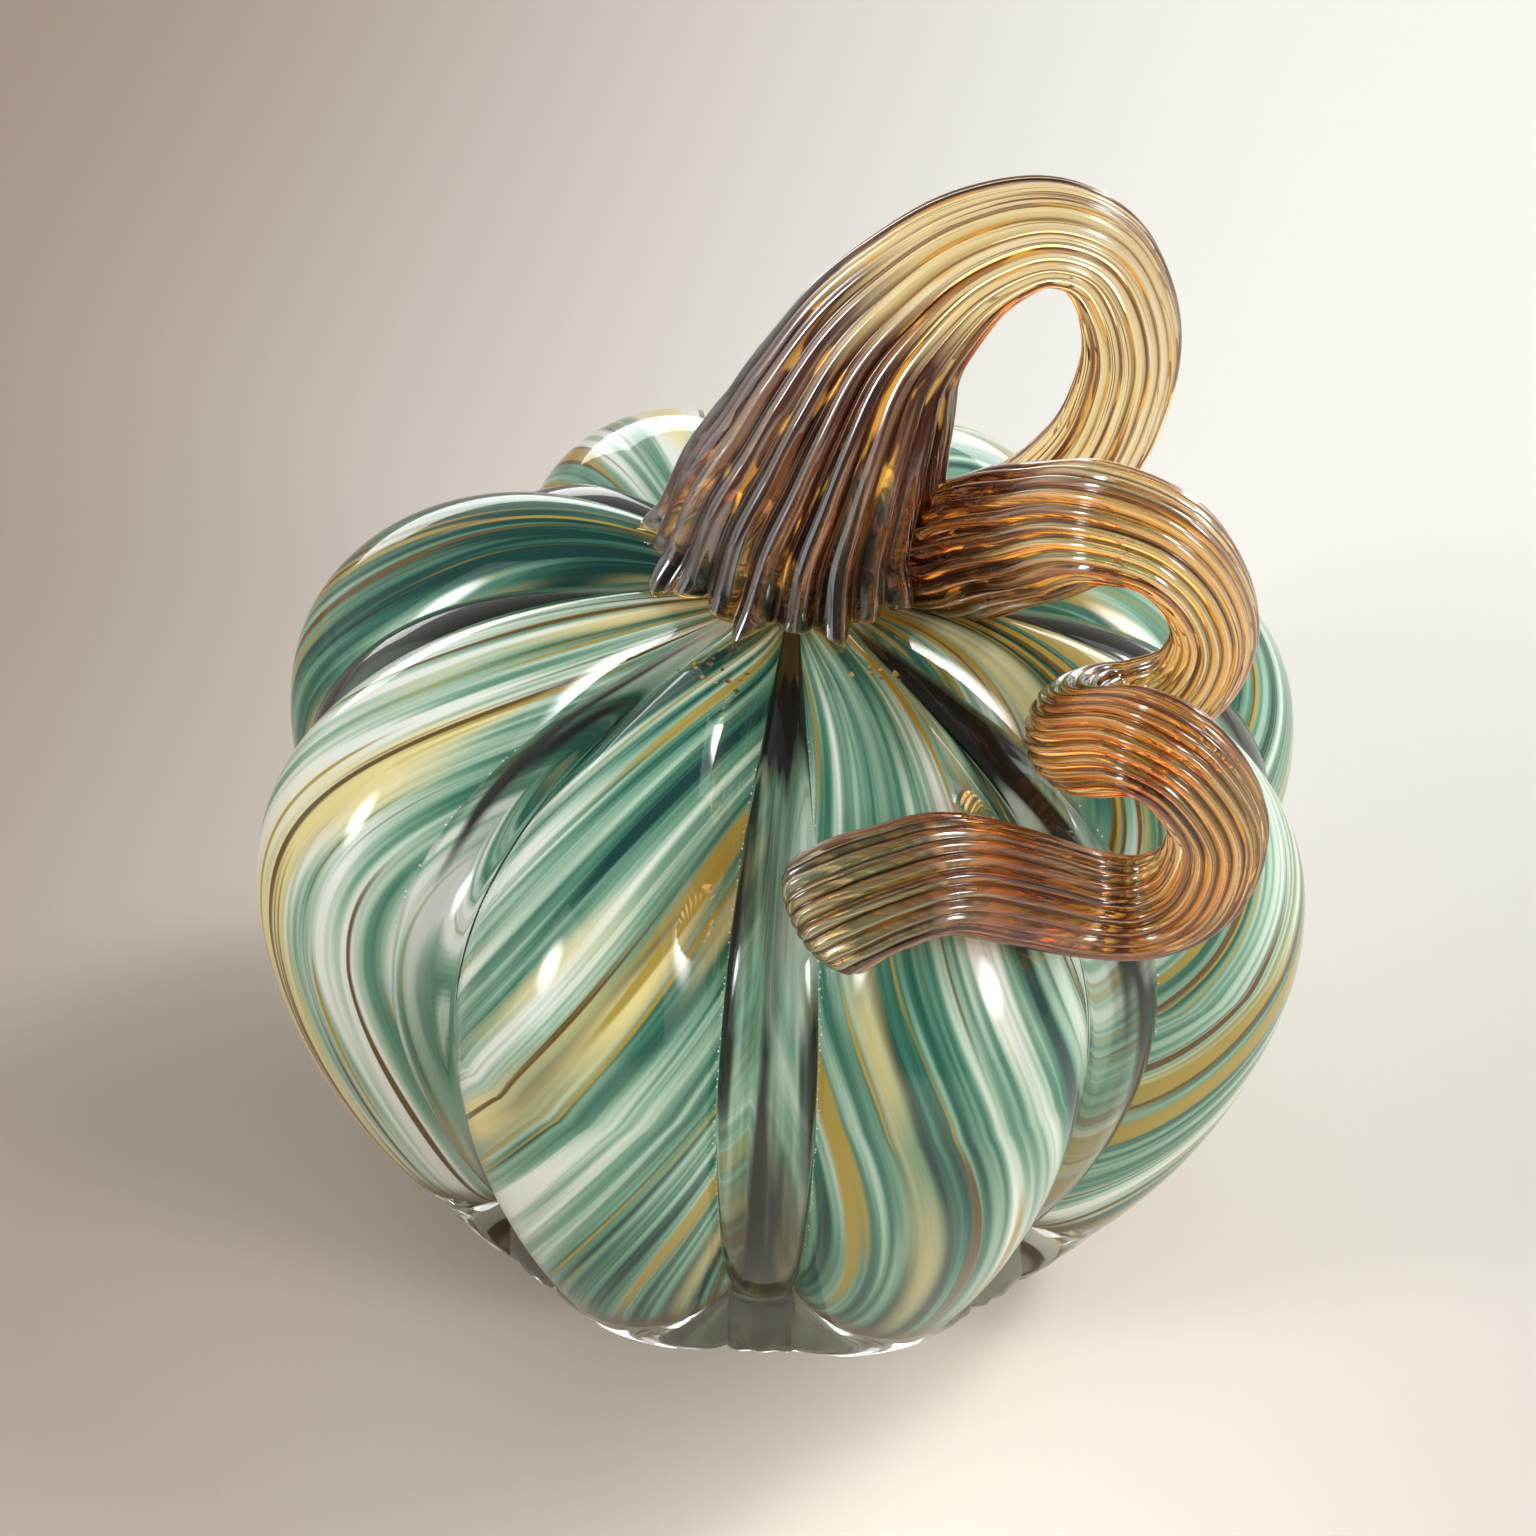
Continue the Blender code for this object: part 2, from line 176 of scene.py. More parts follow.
AMBER_THIN_AND_SHEEN = (9.0, 0.05, 51.0, 0.52, 0.60)
AMBER_GLINTS = (8.0, 0.20, 9.0, 0.55, 0.62)
AMBER_RIPPLE = (3.0, 0.40, 13.0, 0.30, 0.70)

# Streaks over the green: scale, share along, shift, low mark and softness, and how gold moves the mark
STRAW_STREAKS = (5.0, 0.14, 11.0, 0.62, 0.14)
GOLD_STREAKS = (13.0, 0.035, 17.0, 0.64, 0.07)
GOLD_THREADS = (26.0, 0.02, 29.0, 0.66, 0.06)
BROWN_THREADS = (30.0, 0.02, 23.0, 0.67, 0.08)
GOLD_GAIN = -0.09

# Folds and foot of the colour: the marks of the veins of painted shade, and the shares of rust
SHADE_VEIN_MARKS = (0.70, 1.05)
FOLD_RUST_SHARE = 0.85
EDGE_RUST_SHARE = 0.7

# Amber: tones that darken patches, lines and threads, tones of painted shade for grooves and edges, and the
# share used in streaks
PATCH_TONE = (0.38, 0.17, 0.07)
LINE_TONE = (0.30, 0.13, 0.05)
THREAD_TONE = (0.22, 0.09, 0.04)
STREAK_TONE_SHARE = 0.9
GROOVE_SHADE_TONE = (0.25, 0.11, 0.04)
EDGE_SHADE_TONE = (0.40, 0.26, 0.22)

# Amber: bright tones, a painted glint among them, the colour that thick glass lets through, and how deep
# glass and paler streaks of thin glass and painted highlight change a tone
SPECK_RED = (0.40, 0.10, 0.022)
GLINT_GOLD = (1.0, 0.55, 0.13)
RIM_GOLD = (1.0, 0.72, 0.26)
LET_THROUGH = (0.96, 0.78, 0.30, 1.0)
THIN_AND_SHEEN_GAMMA = 0.5
DEEP_GAMMA = 2.0

# Amber: marks along the rod, across a rib or from face on to aslant, with the values given there
UNEVEN_REACH = 0.06
SPECK_MARKS = (0.30, 0.10, 0.0, 0.8)
GROOVE_SHADE_MARKS = (0.45, 0.05, 0.0, 0.9)
GLINT_MARKS = (0.85, 0.35, 0.0, 0.9)
CREST_MARKS = (0.30, 0.80, 0.3, 1.0)
EDGE_SHADE_MARKS = (0.35, 0.95, 0.0, 0.9)
POLISH_FADE = 0.1
POLISH_LEAST = 0.3

# Amber rods: points round a rib and along the rod, and the length over which the grain is drawn
POINTS_PER_RIB = 10
ROUTE_SAMPLES = 40
STEM_ROWS = 300
STEM_CROWDING = 1.15
TENDRIL_ROWS = 330
TIP_ROWS = 20
GRAIN_LENGTH = 0.02

# The stem's hem: how far up it is looked for, the share of the grooves it follows, its lip, flare and rim
HEM_SEARCH = 0.022
HEM_SEARCH_ROWS = 320
HEM_GROOVE = 0.25
HEM_LIP = 0.0005
FLARE_START = 0.006
FLARE_LENGTH = 0.005
RIM_WIDTH = 0.0009

# Lumps in the tendril's tip: their step along it, their sway and its turns round it, and their reach
TIP_STEP = 0.0015
TIP_SWAY = 1.5
TIP_SWAY_TURNS = 3
TIP_REACH = 0.016

# Bubbles: the seed, their line as a share of a lobe's half angle, and their reach and shake in degrees
BUBBLE_SEED = 5
BUBBLE_LINE = 0.985
BUBBLE_REACH = (32, 118)
BUBBLE_SHAKE_DOWN = 0.35
BUBBLE_SHAKE_ROUND = 0.10
BUBBLE_SIZES = (0.5, 1.2)

# Crumbs: the seed, how many, the two heaps' turns and spread in degrees, and their places and sizes
CRUMB_SEED = 8
CRUMB_COUNT = 26
CRUMB_TURNS = (27, -19)
CRUMB_SPREAD = 6
CRUMB_RADIUS = (0.0235, 0.0290)
CRUMB_SIZES = (0.0002, 0.0007)
CRUMB_STRETCH = (0.6, 1.4)

# A small eight-sided shape for bubbles and crumbs
OCTAHEDRON = np.array([(1, 0, 0), (-1, 0, 0), (0, 1, 0), (0, -1, 0), (0, 0, 1), (0, 0, -1)], dtype=float)
OCTAHEDRON_FACES = (
    (0, 2, 4), (2, 1, 4), (1, 3, 4), (3, 0, 4), (2, 0, 5), (1, 2, 5), (3, 1, 5), (0, 3, 5),
)

# Floor: half its side, and the marks between which its colour changes, in metres; the colour holds painted
# light and shade and a painted shadow
FLOOR_HALF = 4.0
FLOOR_SLANT = -0.12
FLOOR_ACROSS = (-0.21, 0.06)
FLOOR_BACK = (-0.08, 0.20)
FLOOR_RIGHT = (0.02, 0.12)
FLOOR_FAR = (0.45, 0.80)
FLOOR_NEAR = (-0.35, -0.70)
PAINTED_SHADOW_MIDDLE = (-0.062, -0.036, 0.0)
PAINTED_SHADOW_MARKS = (0.04, 0.10, 0.48, 0.0)

# World: its tones, the marks between front and back and between side and ceiling, and its strength
WORLD_FRONT = (0.14, 0.14, 0.14)
WORLD_BACK = (0.9, 0.88, 0.85)
CEILING = (0.8, 0.8, 0.8)
CEILING_MIRRORED = (0.25, 0.25, 0.25)
BACKDROP = (0.95, 0.93, 0.90)
BACK_MARKS = (-0.6, 0.2)
CEILING_MARKS = (0.3, 0.9)
WORLD_STRENGTH = 0.9

# Lamps: name, azimuth and elevation in degrees, distance, height aimed at, width, height and power
RIM_CARD = "rim_card"
LAMPS = (
    ("right_soft_box", 52, 0, 1.10, 0.63, 0.70, 1.26, 14.2),
    ("left_soft_box", -56, 0, 1.10, 0.58, 0.56, 1.15, 11.8),
    ("back_panel", 118, 42, 1.2, 0.06, 0.60, 0.60, 11.8),
    (RIM_CARD, 180, 5, 0.75, 0.05, 1.20, 0.26, 2.9),
)
LAMP_MIDDLE = (0.5, 0.5, 0.0)
LAMP_GLOW = (0.0, 0.30, 5.0, 0.16)

# Camera: the nearest distance that it sees
NEAREST_SEEN = 0.05


def length_setting(name, description, default):
    """A length that a user can change."""
    return FloatProperty(name=name, description=description, default=default, unit="LENGTH")


def share_setting(name, description, default):
    """A share that a user can change."""
    return FloatProperty(name=name, description=description, default=default, subtype="FACTOR")


def angle_setting(name, description, degrees):
    """An angle that a user can change, given in degrees."""
    return FloatProperty(name=name, description=description, default=math.radians(degrees), subtype="ANGLE")


def colour_setting(name, description, *default):
    """A colour that a user can change."""
    return FloatVectorProperty(name=name, description=description, default=default, subtype="COLOR")


class BodyShape(PropertyGroup):
    """Sizes of the blown body."""

    lobe_count: IntProperty(name="Lobes", description="Round lobes about the body", default=8, min=3)
    lobe_radius: length_setting("Lobe radius", "Axis to a lobe's crest", 0.076)
    widest_height: length_setting("Widest height", "Height of the widest ring", 0.0605)
    crown_rise: length_setting("Crown rise", "Crest line above the widest ring", 0.050)
    base_drop: length_setting("Base drop", "Crest line below the widest ring, before the flat", 0.0888)
    crown_dip: length_setting("Crown dip", "Depth of the hollow under the stem", 0.0095)
    dip_width: length_setting("Dip width", "Spread of the hollow under the stem", 0.030)
    crown_fullness: FloatProperty(
        name="Crown fullness", description="Power of the upper outline", default=1.27
    )
    base_fullness: FloatProperty(
        name="Base fullness", description="Power of the lower outline", default=1.24
    )
    crown_slope: FloatProperty(name="Crown slope", description="Power of the upper rise", default=0.82)
    base_slope: FloatProperty(name="Base slope", description="Power of the lower drop", default=1.2)
    lobe_half_angle: angle_setting("Lobe half angle", "Crest to groove", 16.85)
    groove_share: share_setting("Groove depth", "Share of the radius", 0.131)
    rib_share: share_setting("Rib height", "Share of the groove's depth", 0.194)
    casing_wall: length_setting("Casing", "Clear glass over the colour", 0.0026)
    casing_floor: length_setting("Casing floor", "Clear glass under the colour", 0.0080)
    bubble_count: IntProperty(
        name="Bubbles", description="Bubbles along a groove's edge", default=70, min=1
    )
    bubble_radius: length_setting("Bubble radius", "Largest bubbles", 0.00022)
    bubble_inset: length_setting("Bubble inset", "Bubbles under the surface", 0.0005)
    foot_lumps: length_setting("Foot lumps", "Lumps in the clear foot", 0.0005)
    web_height: length_setting("Web height", "Clear foot that joins the lobes", 0.007)
    web_share: share_setting("Web", "How far the web fills the grooves", 0.8)
    crease_share: share_setting("Crease depth", "Share of the radius that the colour folds in", 0.20)


class StreakColours(PropertyGroup):
    """Colours of the drawn streaks."""

    deep_green: colour_setting("Deep green", "Darkest streaks", 0.008, 0.050, 0.042)
    teal: colour_setting("Teal", "Main colour", 0.048, 0.175, 0.120)
    sea_green: colour_setting("Sea green", "Lighter main colour", 0.19, 0.36, 0.255)
    mint: colour_setting("Mint", "Pale streaks", 0.46, 0.60, 0.48)
    milk: colour_setting("Milk", "White streaks", 0.82, 0.85, 0.78)
    gold: colour_setting("Gold", "Amber streaks", 0.41, 0.30, 0.055)
    straw: colour_setting("Straw", "Pale yellow streaks", 0.80, 0.68, 0.30)
    brown: colour_setting("Brown", "Thin dark lines", 0.13, 0.075, 0.018)
    # Painted shade: the near-black colour of the folds behind the ribs
    smoke: colour_setting("Smoke", "Folds behind the ribs", 0.020, 0.022, 0.017)
    shade: colour_setting("Shade", "Darker lines in the folds", 0.14, 0.18, 0.13)
    rust: colour_setting("Rust", "Foot of the folds", 0.16, 0.085, 0.022)


class AmberShape(PropertyGroup):
    """Sizes and colours of the amber bits."""

    rib_count: IntProperty(name="Ribs", description="Ribs about the rod", default=22, min=3)
    rib_depth: share_setting("Rib depth", "Share of the rod's radius", 0.12)
    hem_reach: length_setting("Hem reach", "How far a point runs out", 0.0040)
    arch_rise: length_setting("Arch rise", "Height of the hem's arches", 0.0022)
    tip_rounding: length_setting("Tip rounding", "Length of the tendril's rounded end", 0.004)
    tip_lumps: share_setting("Tip lumps", "Share of the radius", 0.025)
    root_beer: colour_setting("Root beer", "Thick glass", 0.11, 0.035, 0.022)
    garnet: colour_setting("Garnet", "Foot of the stem", 0.20, 0.055, 0.018)
    amber: colour_setting("Amber", "Wound glass", 0.82, 0.49, 0.22)
    deep: colour_setting("Deep amber", "Tail of the tendril", 0.86, 0.33, 0.07)
    gold: colour_setting("Gold", "First turn of the tendril", 1.0, 0.68, 0.31)
    honey: colour_setting("Honey", "Thin glass", 1.0, 0.84, 0.50)
    smoke: colour_setting("Smoke", "Clear end of the tendril", 1.0, 0.76, 0.58)


class Studio(PropertyGroup):
    """The camera and the stage."""

    lens: FloatProperty(name="Lens", description="Focal length in millimetres", default=126.57)
    shift_across: share_setting("Shift across", "Share of the picture's width", -0.01257)
    shift_up: share_setting("Shift up", "Share of the picture's width", 0.00236)
    elevation: angle_setting("Elevation", "Camera above the horizon", 36.057)
    azimuth: angle_setting("Azimuth", "Camera round the object", 0.833)
    roll: angle_setting("Roll", "Tilt of the picture", 2.256)
    distance: length_setting("Distance", "Camera to target", 0.75403)
    target_height: length_setting("Target height", "Height that the camera looks at", 0.067918)
    # Floor colours that paint light and shade across the floor: the light side, the front and the dark side
    floor_light: colour_setting("Floor, light side", "Floor at the back right", 0.72, 0.71, 0.67)
    floor_front: colour_setting("Floor, front", "Floor before the object", 0.94, 0.86, 0.77)
    floor_right: colour_setting("Floor, right", "Floor at the front right", 0.60, 0.565, 0.52)
    floor_near: colour_setting("Floor, near", "Floor on the camera's side", 0.12, 0.12, 0.12)
    floor_dark: colour_setting("Floor, dark side", "Floor at the left", 0.32, 0.255, 0.213)


def new_piece(name, points, faces, values):
    """A smooth piece of points and faces that rides on the one body, its points carrying named values."""
    mesh = bpy.data.meshes.new(name)
    mesh.from_pydata(points.tolist(), [], faces)
    mesh.shade_smooth()
    for label, array in values.items():
        kind, part = ("FLOAT", "value") if array.ndim == 1 else ("FLOAT_VECTOR", "vector")
        attribute = mesh.attributes.new(label, kind, "POINT")
        attribute.data.foreach_set(part, array.astype(np.float32).ravel())
    piece = bpy.data.objects.new(name, mesh)
    bpy.context.scene.collection.objects.link(piece)
    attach(piece, BODY)
    return piece


def closed_surface(name, rings, poles, values):
    """A closed piece of rings of points, each ring closed on itself and the first and last drawn to a pole.

    Neighbouring rings are joined by four-sided faces. If the enclosed volume comes out negative, every face
    is turned round. Values are named arrays with a row for each point, poles last.
    """
    count, sides, _ = rings.shape
    points = np.vstack([rings.reshape(-1, 3), poles])
    index = np.arange(count * sides).reshape(count, sides)
    beside = np.roll(index, -1, axis=1)
    quads = np.stack([index[:-1], beside[:-1], beside[1:], index[1:]], axis=-1).reshape(-1, 4)
    first = np.stack([beside[0], index[0], np.full(sides, count * sides)], axis=-1)
    last = np.stack([index[-1], beside[-1], np.full(sides, count * sides + 1)], axis=-1)
    corners = np.vstack([quads[:, [0, 1, 2]], quads[:, [0, 2, 3]], first, last])
    a, b, c = (points[corners[:, side]] for side in range(3))
    if np.einsum("ij,ij->", a, np.cross(b, c)) < 0:
        quads, first, last = quads[:, ::-1], first[:, ::-1], last[:, ::-1]
    return new_piece(name, points, quads.tolist() + first.tolist() + last.tolist(), values)


def scattered(name, centres, sizes):
    """Many small eight-sided grains in one piece: each is a centre plus the shape times its size."""
    points = centres + sizes * OCTAHEDRON
    count, corners, _ = points.shape
    index = np.array(OCTAHEDRON_FACES)[None] + corners * np.arange(count)[:, None, None]
    return new_piece(name, points.reshape(-1, 3), index.reshape(-1, 3).tolist(), {})


def with_poles(array):
    """An array over the rings, flattened, with the means of the first and last rings added as poles."""
    flat = array.reshape(-1, *array.shape[2:])
    return np.concatenate([flat, [array[0].mean(axis=0), array[-1].mean(axis=0)]])


def columns(*parts):
    """Arrays spread to one shape and stacked as the parts of a vector."""
    return np.stack(np.broadcast_arrays(*parts), axis=-1)


def smoothstep(share):
    """A soft step: 3s squared less 2s cubed, of a share held between 0 and 1."""
    share = np.clip(share, 0, 1)
    return share * share * (3 - 2 * share)


def past(value, mark):
    """How far a value is past a mark: a soft step from the mark's start over its width."""
    start, width = mark
    return smoothstep((value - start) / width)


def from_crest(shape, turn):
    """The angle from the nearest lobe's crest, with crests half a pitch from the front."""
    pitch = 2 * math.pi / shape.lobe_count
    return np.abs(turn % pitch - pitch / 2)


def across_rib(shape, turn):
    """Where a turn lies across the nearest rib: 0 at its middle and 1 at the groove, more over the lobe."""
    half_pitch = math.pi / shape.lobe_count
    return (half_pitch - from_crest(shape, turn)) / (half_pitch - shape.lobe_half_angle)


def round_lobe(shape, turn):
    """An arc from 0 at a lobe's crest to 1 at its groove: 1 less the root of 1 - r s squared, scaled."""
    share = np.minimum(from_crest(shape, turn) / shape.lobe_half_angle, 1)
    fall = 1 - np.sqrt(np.clip(1 - LOBE_ROUNDNESS * share**2, 0, 1))
    return fall / (1 - math.sqrt(1 - LOBE_ROUNDNESS))


def casing_depth(shape, turn):
    """Depth of the casing: a round lobe falls to 1 at the groove, then a narrow half-round rib rises."""
    rib = 1 - shape.rib_share * np.sqrt(np.clip(1 - across_rib(shape, turn) ** 2, 0, 1))
    return np.where(from_crest(shape, turn) < shape.lobe_half_angle, round_lobe(shape, turn), rib)


def colour_depth(shape, turn):
    """Depth of the colour: the casing's lobe, then a fold to 1 behind the rib by a squared cosine."""
    groove = shape.groove_share / shape.crease_share
    fold = groove + (1 - groove) * np.cos(math.pi / 2 * np.minimum(across_rib(shape, turn), 1)) ** 2
    return np.where(across_rib(shape, turn) > 1, groove * round_lobe(shape, turn), fold)


def lobed_layer(shape, polar, inset, share, depth, web_share=0.0):
    """Radius and height of a lobed layer.

    The crest line has radius sine^fullness and rise cosine^slope of the polar angle, less the inset. The
    lobe's depth, faded out towards the poles, draws radius and rise in by its share, and less so in the
    foot's web. The crown has a bell-shaped dip.
    """
    sine, cosine = np.sin(polar), np.cos(polar)
    upper = cosine >= 0
    fullness = np.where(upper, shape.crown_fullness, shape.base_fullness)
    slope = np.where(upper, shape.crown_slope, shape.base_slope)
    reach = np.where(upper, shape.crown_rise - inset, inset - shape.base_drop)
    rise = reach * np.abs(cosine) ** slope
    web = smoothstep(1 - (shape.widest_height + rise) / shape.web_height)
    keep = 1 - share * smoothstep(sine / LOBE_FADE) * depth * (1 - web_share * web)
    radius = (shape.lobe_radius - inset) * sine**fullness * keep
    dip = np.where(upper, shape.crown_dip * np.exp(-((radius / shape.dip_width) ** 2)), 0)
    height = shape.widest_height + rise * keep - dip
    return radius, height


def flat_underside(height, floor, rounding):
    """Heights held above the floor, with a rounded edge: the smooth maximum of the two."""
    return (height + floor + np.sqrt((height - floor) ** 2 + rounding**2)) / 2


def round_the_body(radius, height, turn):
    """Points at a radius and height, turned round the axis from the front."""
    return columns(radius * np.sin(turn), -radius * np.cos(turn), height)


def crown_height(shape, x, y, groove=1.0):
    """Height of the casing over a point of its upper half, with the grooves at a share of their depth.

    The polar angle whose radius is the point's is found by halving.
    """
    wanted = np.hypot(x, y)
    depth = groove * casing_depth(shape, np.arctan2(x, -y))
    low = np.zeros_like(wanted)
    high = np.full_like(wanted, math.pi / 2)
    for _ in range(HALVINGS):
        middle = (low + high) / 2
        radius, height = lobed_layer(shape, middle, 0.0, shape.groove_share, depth)
        low = np.where(radius < wanted, middle, low)
        high = np.where(radius < wanted, high, middle)
    return height


def body_grid(shape, per_lobe, per_rib, rows):
    """A row of turns and a column of polar angles without the poles.

    The turns are crowded towards the grooves: a sine from groove to groove, over each lobe and each rib.
    """
    pitch = 2 * math.pi / shape.lobe_count
    half = shape.lobe_half_angle
    quarter = math.pi / 2
    lobe, rib = (np.sin(np.linspace(-quarter, quarter, count + 1))[:-1] for count in (per_lobe, per_rib))
    turn = np.concatenate([pitch / 2 + half * lobe, pitch + (pitch / 2 - half) * rib])
    turn = (turn + pitch * np.arange(shape.lobe_count)[:, None]).ravel()
    return turn[None, :], np.linspace(0, math.pi, rows + 2)[1:-1, None]


def round_steps(values, turn, first):
    """Values at even steps round the body, the first at its own turn, with a soft step between each two."""
    values = np.array(values)
    steps = (turn - first) / (2 * math.pi) * len(values)
    before = np.floor(steps).astype(int)
    share = smoothstep(steps - before)
    return values[before % len(values)] * (1 - share) + values[(before + 1) % len(values)] * share


def smooth_route(route):
    """A Catmull-Rom curve through a route's points, in metres, with the length at each sample."""
    points = np.array(route) * MM
    ends = np.vstack([2 * points[0] - points[1], points, 2 * points[-1] - points[-2]])
    share = np.linspace(0, 1, ROUTE_SAMPLES, endpoint=False)[None, :, None]
    before, start, end, after = (ends[shift : len(ends) - 3 + shift, None] for shift in range(4))
    slope = (end - before) * share
    bend = (2 * before - 5 * start + 4 * end - after) * share**2
    twist = (3 * start - before - 3 * end + after) * share**3
    samples = np.vstack([(start + (slope + bend + twist) / 2).reshape(-1, 4), points[-1:]])
    steps = np.linalg.norm(np.diff(samples[:, :3], axis=0), axis=1)
    return samples, np.concatenate([[0], np.cumsum(steps)])


def carried_frames(centres):
    """Two directions across a route, carried along without twist: each is the last, less its part along."""
    along = np.gradient(centres, axis=0)
    along /= np.linalg.norm(along, axis=1, keepdims=True)
    side = np.empty_like(centres)
    carried = np.array([0.0, 1.0, 0.0])
    for index, direction in enumerate(along):
        carried = carried - direction * (carried @ direction)
        carried /= np.linalg.norm(carried)
        side[index] = carried
    return side, np.cross(along, side)


class Rod:
    """A ribbed rod along a route: a section of rounded ribs with sharp grooves, carried without twist.

    The section's radius at an angle a is 1 - depth (1 - |cos(n a / 2)|) for n ribs.
    """

    def __init__(self, route, amber):
        samples, self.length = smooth_route(route)
        side, over = carried_frames(samples[:, :3])
        self.table = np.hstack([samples, side, over])
        self.end = self.length[-1]
        around = amber.rib_count * POINTS_PER_RIB
        self.angle = np.linspace(0, 2 * math.pi, around, endpoint=False)[None, :]
        self.crest = np.abs(np.cos(amber.rib_count * self.angle / 2))
        self.section = 1 - amber.rib_depth * (1 - self.crest)

    def points(self, place, grow=0.0, scale=1.0):
        """Points round the rod at places along it: the radius times the section, grown and scaled."""
        at = np.stack([np.interp(place, self.length, column) for column in self.table.T], axis=-1)
        radius = ((at[..., 3] * self.section + grow) * scale)[..., None]
        angle = np.broadcast_to(self.angle, place.shape)[..., None]
        return at[..., :3] + radius * (np.cos(angle) * at[..., 4:7] + np.sin(angle) * at[..., 7:10])

    def values(self, place):
        """What each point carries: its share along the route, its grain and the rib's height there."""
        grain = columns(np.cos(self.angle), np.sin(self.angle), place / GRAIN_LENGTH)
        rib = np.broadcast_to(self.crest, place.shape)
        return {"along": with_poles(place / self.end), "grain": with_poles(grain), "rib": with_poles(rib)}


def node_maker(tree):
    """A function that adds a node to a tree: settings are attributes, inputs are values or sockets."""

    def add(kind, inputs=None, **settings):
        node = tree.nodes.new(kind)
        for label, value in settings.items():
            setattr(node, label, value)
        for label, value in (inputs or {}).items():
            if isinstance(value, bpy.types.NodeSocket):
                tree.links.new(value, node.inputs[label])
            else:
                node.inputs[label].default_value = value
        return node

    return add


def emptied(owner):
    """Empty the nodes of a material, world or lamp, and give back the function that adds to them."""
    owner.use_nodes = True
    owner.node_tree.nodes.clear()
    return node_maker(owner.node_tree)


def new_material(name):
    """A material with no nodes, and the function that adds to them."""
    material = bpy.data.materials.new(name)
    return material, emptied(material)


def carried(add, name, output="Vector"):
    """A value that the mesh's points carry."""
    return add("ShaderNodeAttribute", attribute_name=name).outputs[output]


def parts_of(add, vector):
    """The X, Y and Z parts of a vector."""
    return add("ShaderNodeSeparateXYZ", {"Vector": vector}).outputs


def maths(add, operation, *values):
    """One step of arithmetic on values or sockets."""
    return add("ShaderNodeMath", dict(enumerate(values)), operation=operation).outputs[0]


def distance(add, place, middle):
    """How far a place is from a middle point."""
    return add("ShaderNodeVectorMath", {0: place, 1: middle}, operation="DISTANCE").outputs["Value"]


def between(add, value, low, high, first=0.0, last=1.0, soft=False):
    """A value's place between a low and a high mark, given back between a first and a last value."""
    inputs = {"Value": value, "From Min": low, "From Max": high, "To Min": first, "To Max": last}
    kind = "SMOOTHSTEP" if soft else "LINEAR"
    return add("ShaderNodeMapRange", inputs, interpolation_type=kind).outputs["Result"]


def ramp(add, factor, stops):
    """A colour ramp over a factor, from stops of place and colour."""
    node = add("ShaderNodeValToRGB", {"Fac": factor})
    elements = node.color_ramp.elements
    while len(elements) < len(stops):
        elements.new(1.0)
    for element, (place, colour) in zip(elements, stops):
        element.position = place
        element.color = (*colour, 1.0)
    return node.outputs["Color"]


def mixed(add, factor, first, second, blend="MIX"):
    """Two colours mixed by a factor. The node's sockets share names, so they are found by their order."""
    node = add("ShaderNodeMix", data_type="RGBA", blend_type=blend)
    for socket, value in ((node.inputs[0], factor), (node.inputs[6], first), (node.inputs[7], second)):
        if isinstance(value, bpy.types.NodeSocket):
            node.id_data.links.new(value, socket)
        else:
            socket.default_value = value if isinstance(value, (int, float)) else (*value, 1.0)
    return node.outputs[2]


def drawn_streaks():
    """A node group: noise drawn out along a path, put between a low and a high mark as a mask."""
    name = "Drawn streaks"
    if name in bpy.data.node_groups:
        return bpy.data.node_groups[name]
    group = bpy.data.node_groups.new(name, "ShaderNodeTree")
    sockets = group.interface
    sockets.new_socket("Path", in_out="INPUT", socket_type="NodeSocketVector")
    for label, value in (("Scale", 10.0), ("Along", 0.1), ("Shift", 0.0), ("Low", 0.4), ("High", 0.6)):
        sockets.new_socket(label, in_out="INPUT", socket_type="NodeSocketFloat").default_value = value
    sockets.new_socket("Mask", in_out="OUTPUT", socket_type="NodeSocketFloat")
    add = node_maker(group)
    given = add("NodeGroupInput").outputs
    parts = parts_of(add, given["Path"])
    drawn = maths(add, "MULTIPLY_ADD", parts["Z"], given["Along"], given["Shift"])
    path = add("ShaderNodeCombineXYZ", {"X": parts["X"], "Y": parts["Y"], "Z": drawn})
    noise = add(
        "ShaderNodeTexNoise",
        {"Vector": path.outputs[0], "Scale": given["Scale"], "Detail": 2.0, "Roughness": 0.55},
    )
    mask = between(add, noise.outputs["Fac"], given["Low"], given["High"], soft=True)
    add("NodeGroupOutput", {"Mask": mask})
    return group


def streaks(add, path, scale, along, shift, low, high):
    """One placing of the drawn streaks, its numbers given as values or sockets."""
    inputs = {"Path": path, "Scale": scale, "Along": along, "Shift": shift, "Low": low, "High": high}
    return add("ShaderNodeGroup", inputs, node_tree=drawn_streaks()).outputs["Mask"]


def lets_lamps_through(add, glass, tint, leaving=None):
    """Glass that lamps and soft light pass straight through with a tint, so that what lies inside is lit.

    Where rays are leaving the glass, they go out unbent and without the tint.
    """
    rays = add("ShaderNodeLightPath").outputs
    passing = maths(add, "MAXIMUM", rays["Is Shadow Ray"], rays["Is Diffuse Ray"])
    colour = (*tint, 1.0)
    if leaving:
        passing = maths(add, "MAXIMUM", passing, leaving)
        colour = mixed(add, leaving, tint, WHITE)
    clear = add("ShaderNodeBsdfTransparent", {"Color": colour})
    return add("ShaderNodeMixShader", {0: passing, 1: glass, 2: clear.outputs[0]}).outputs[0]


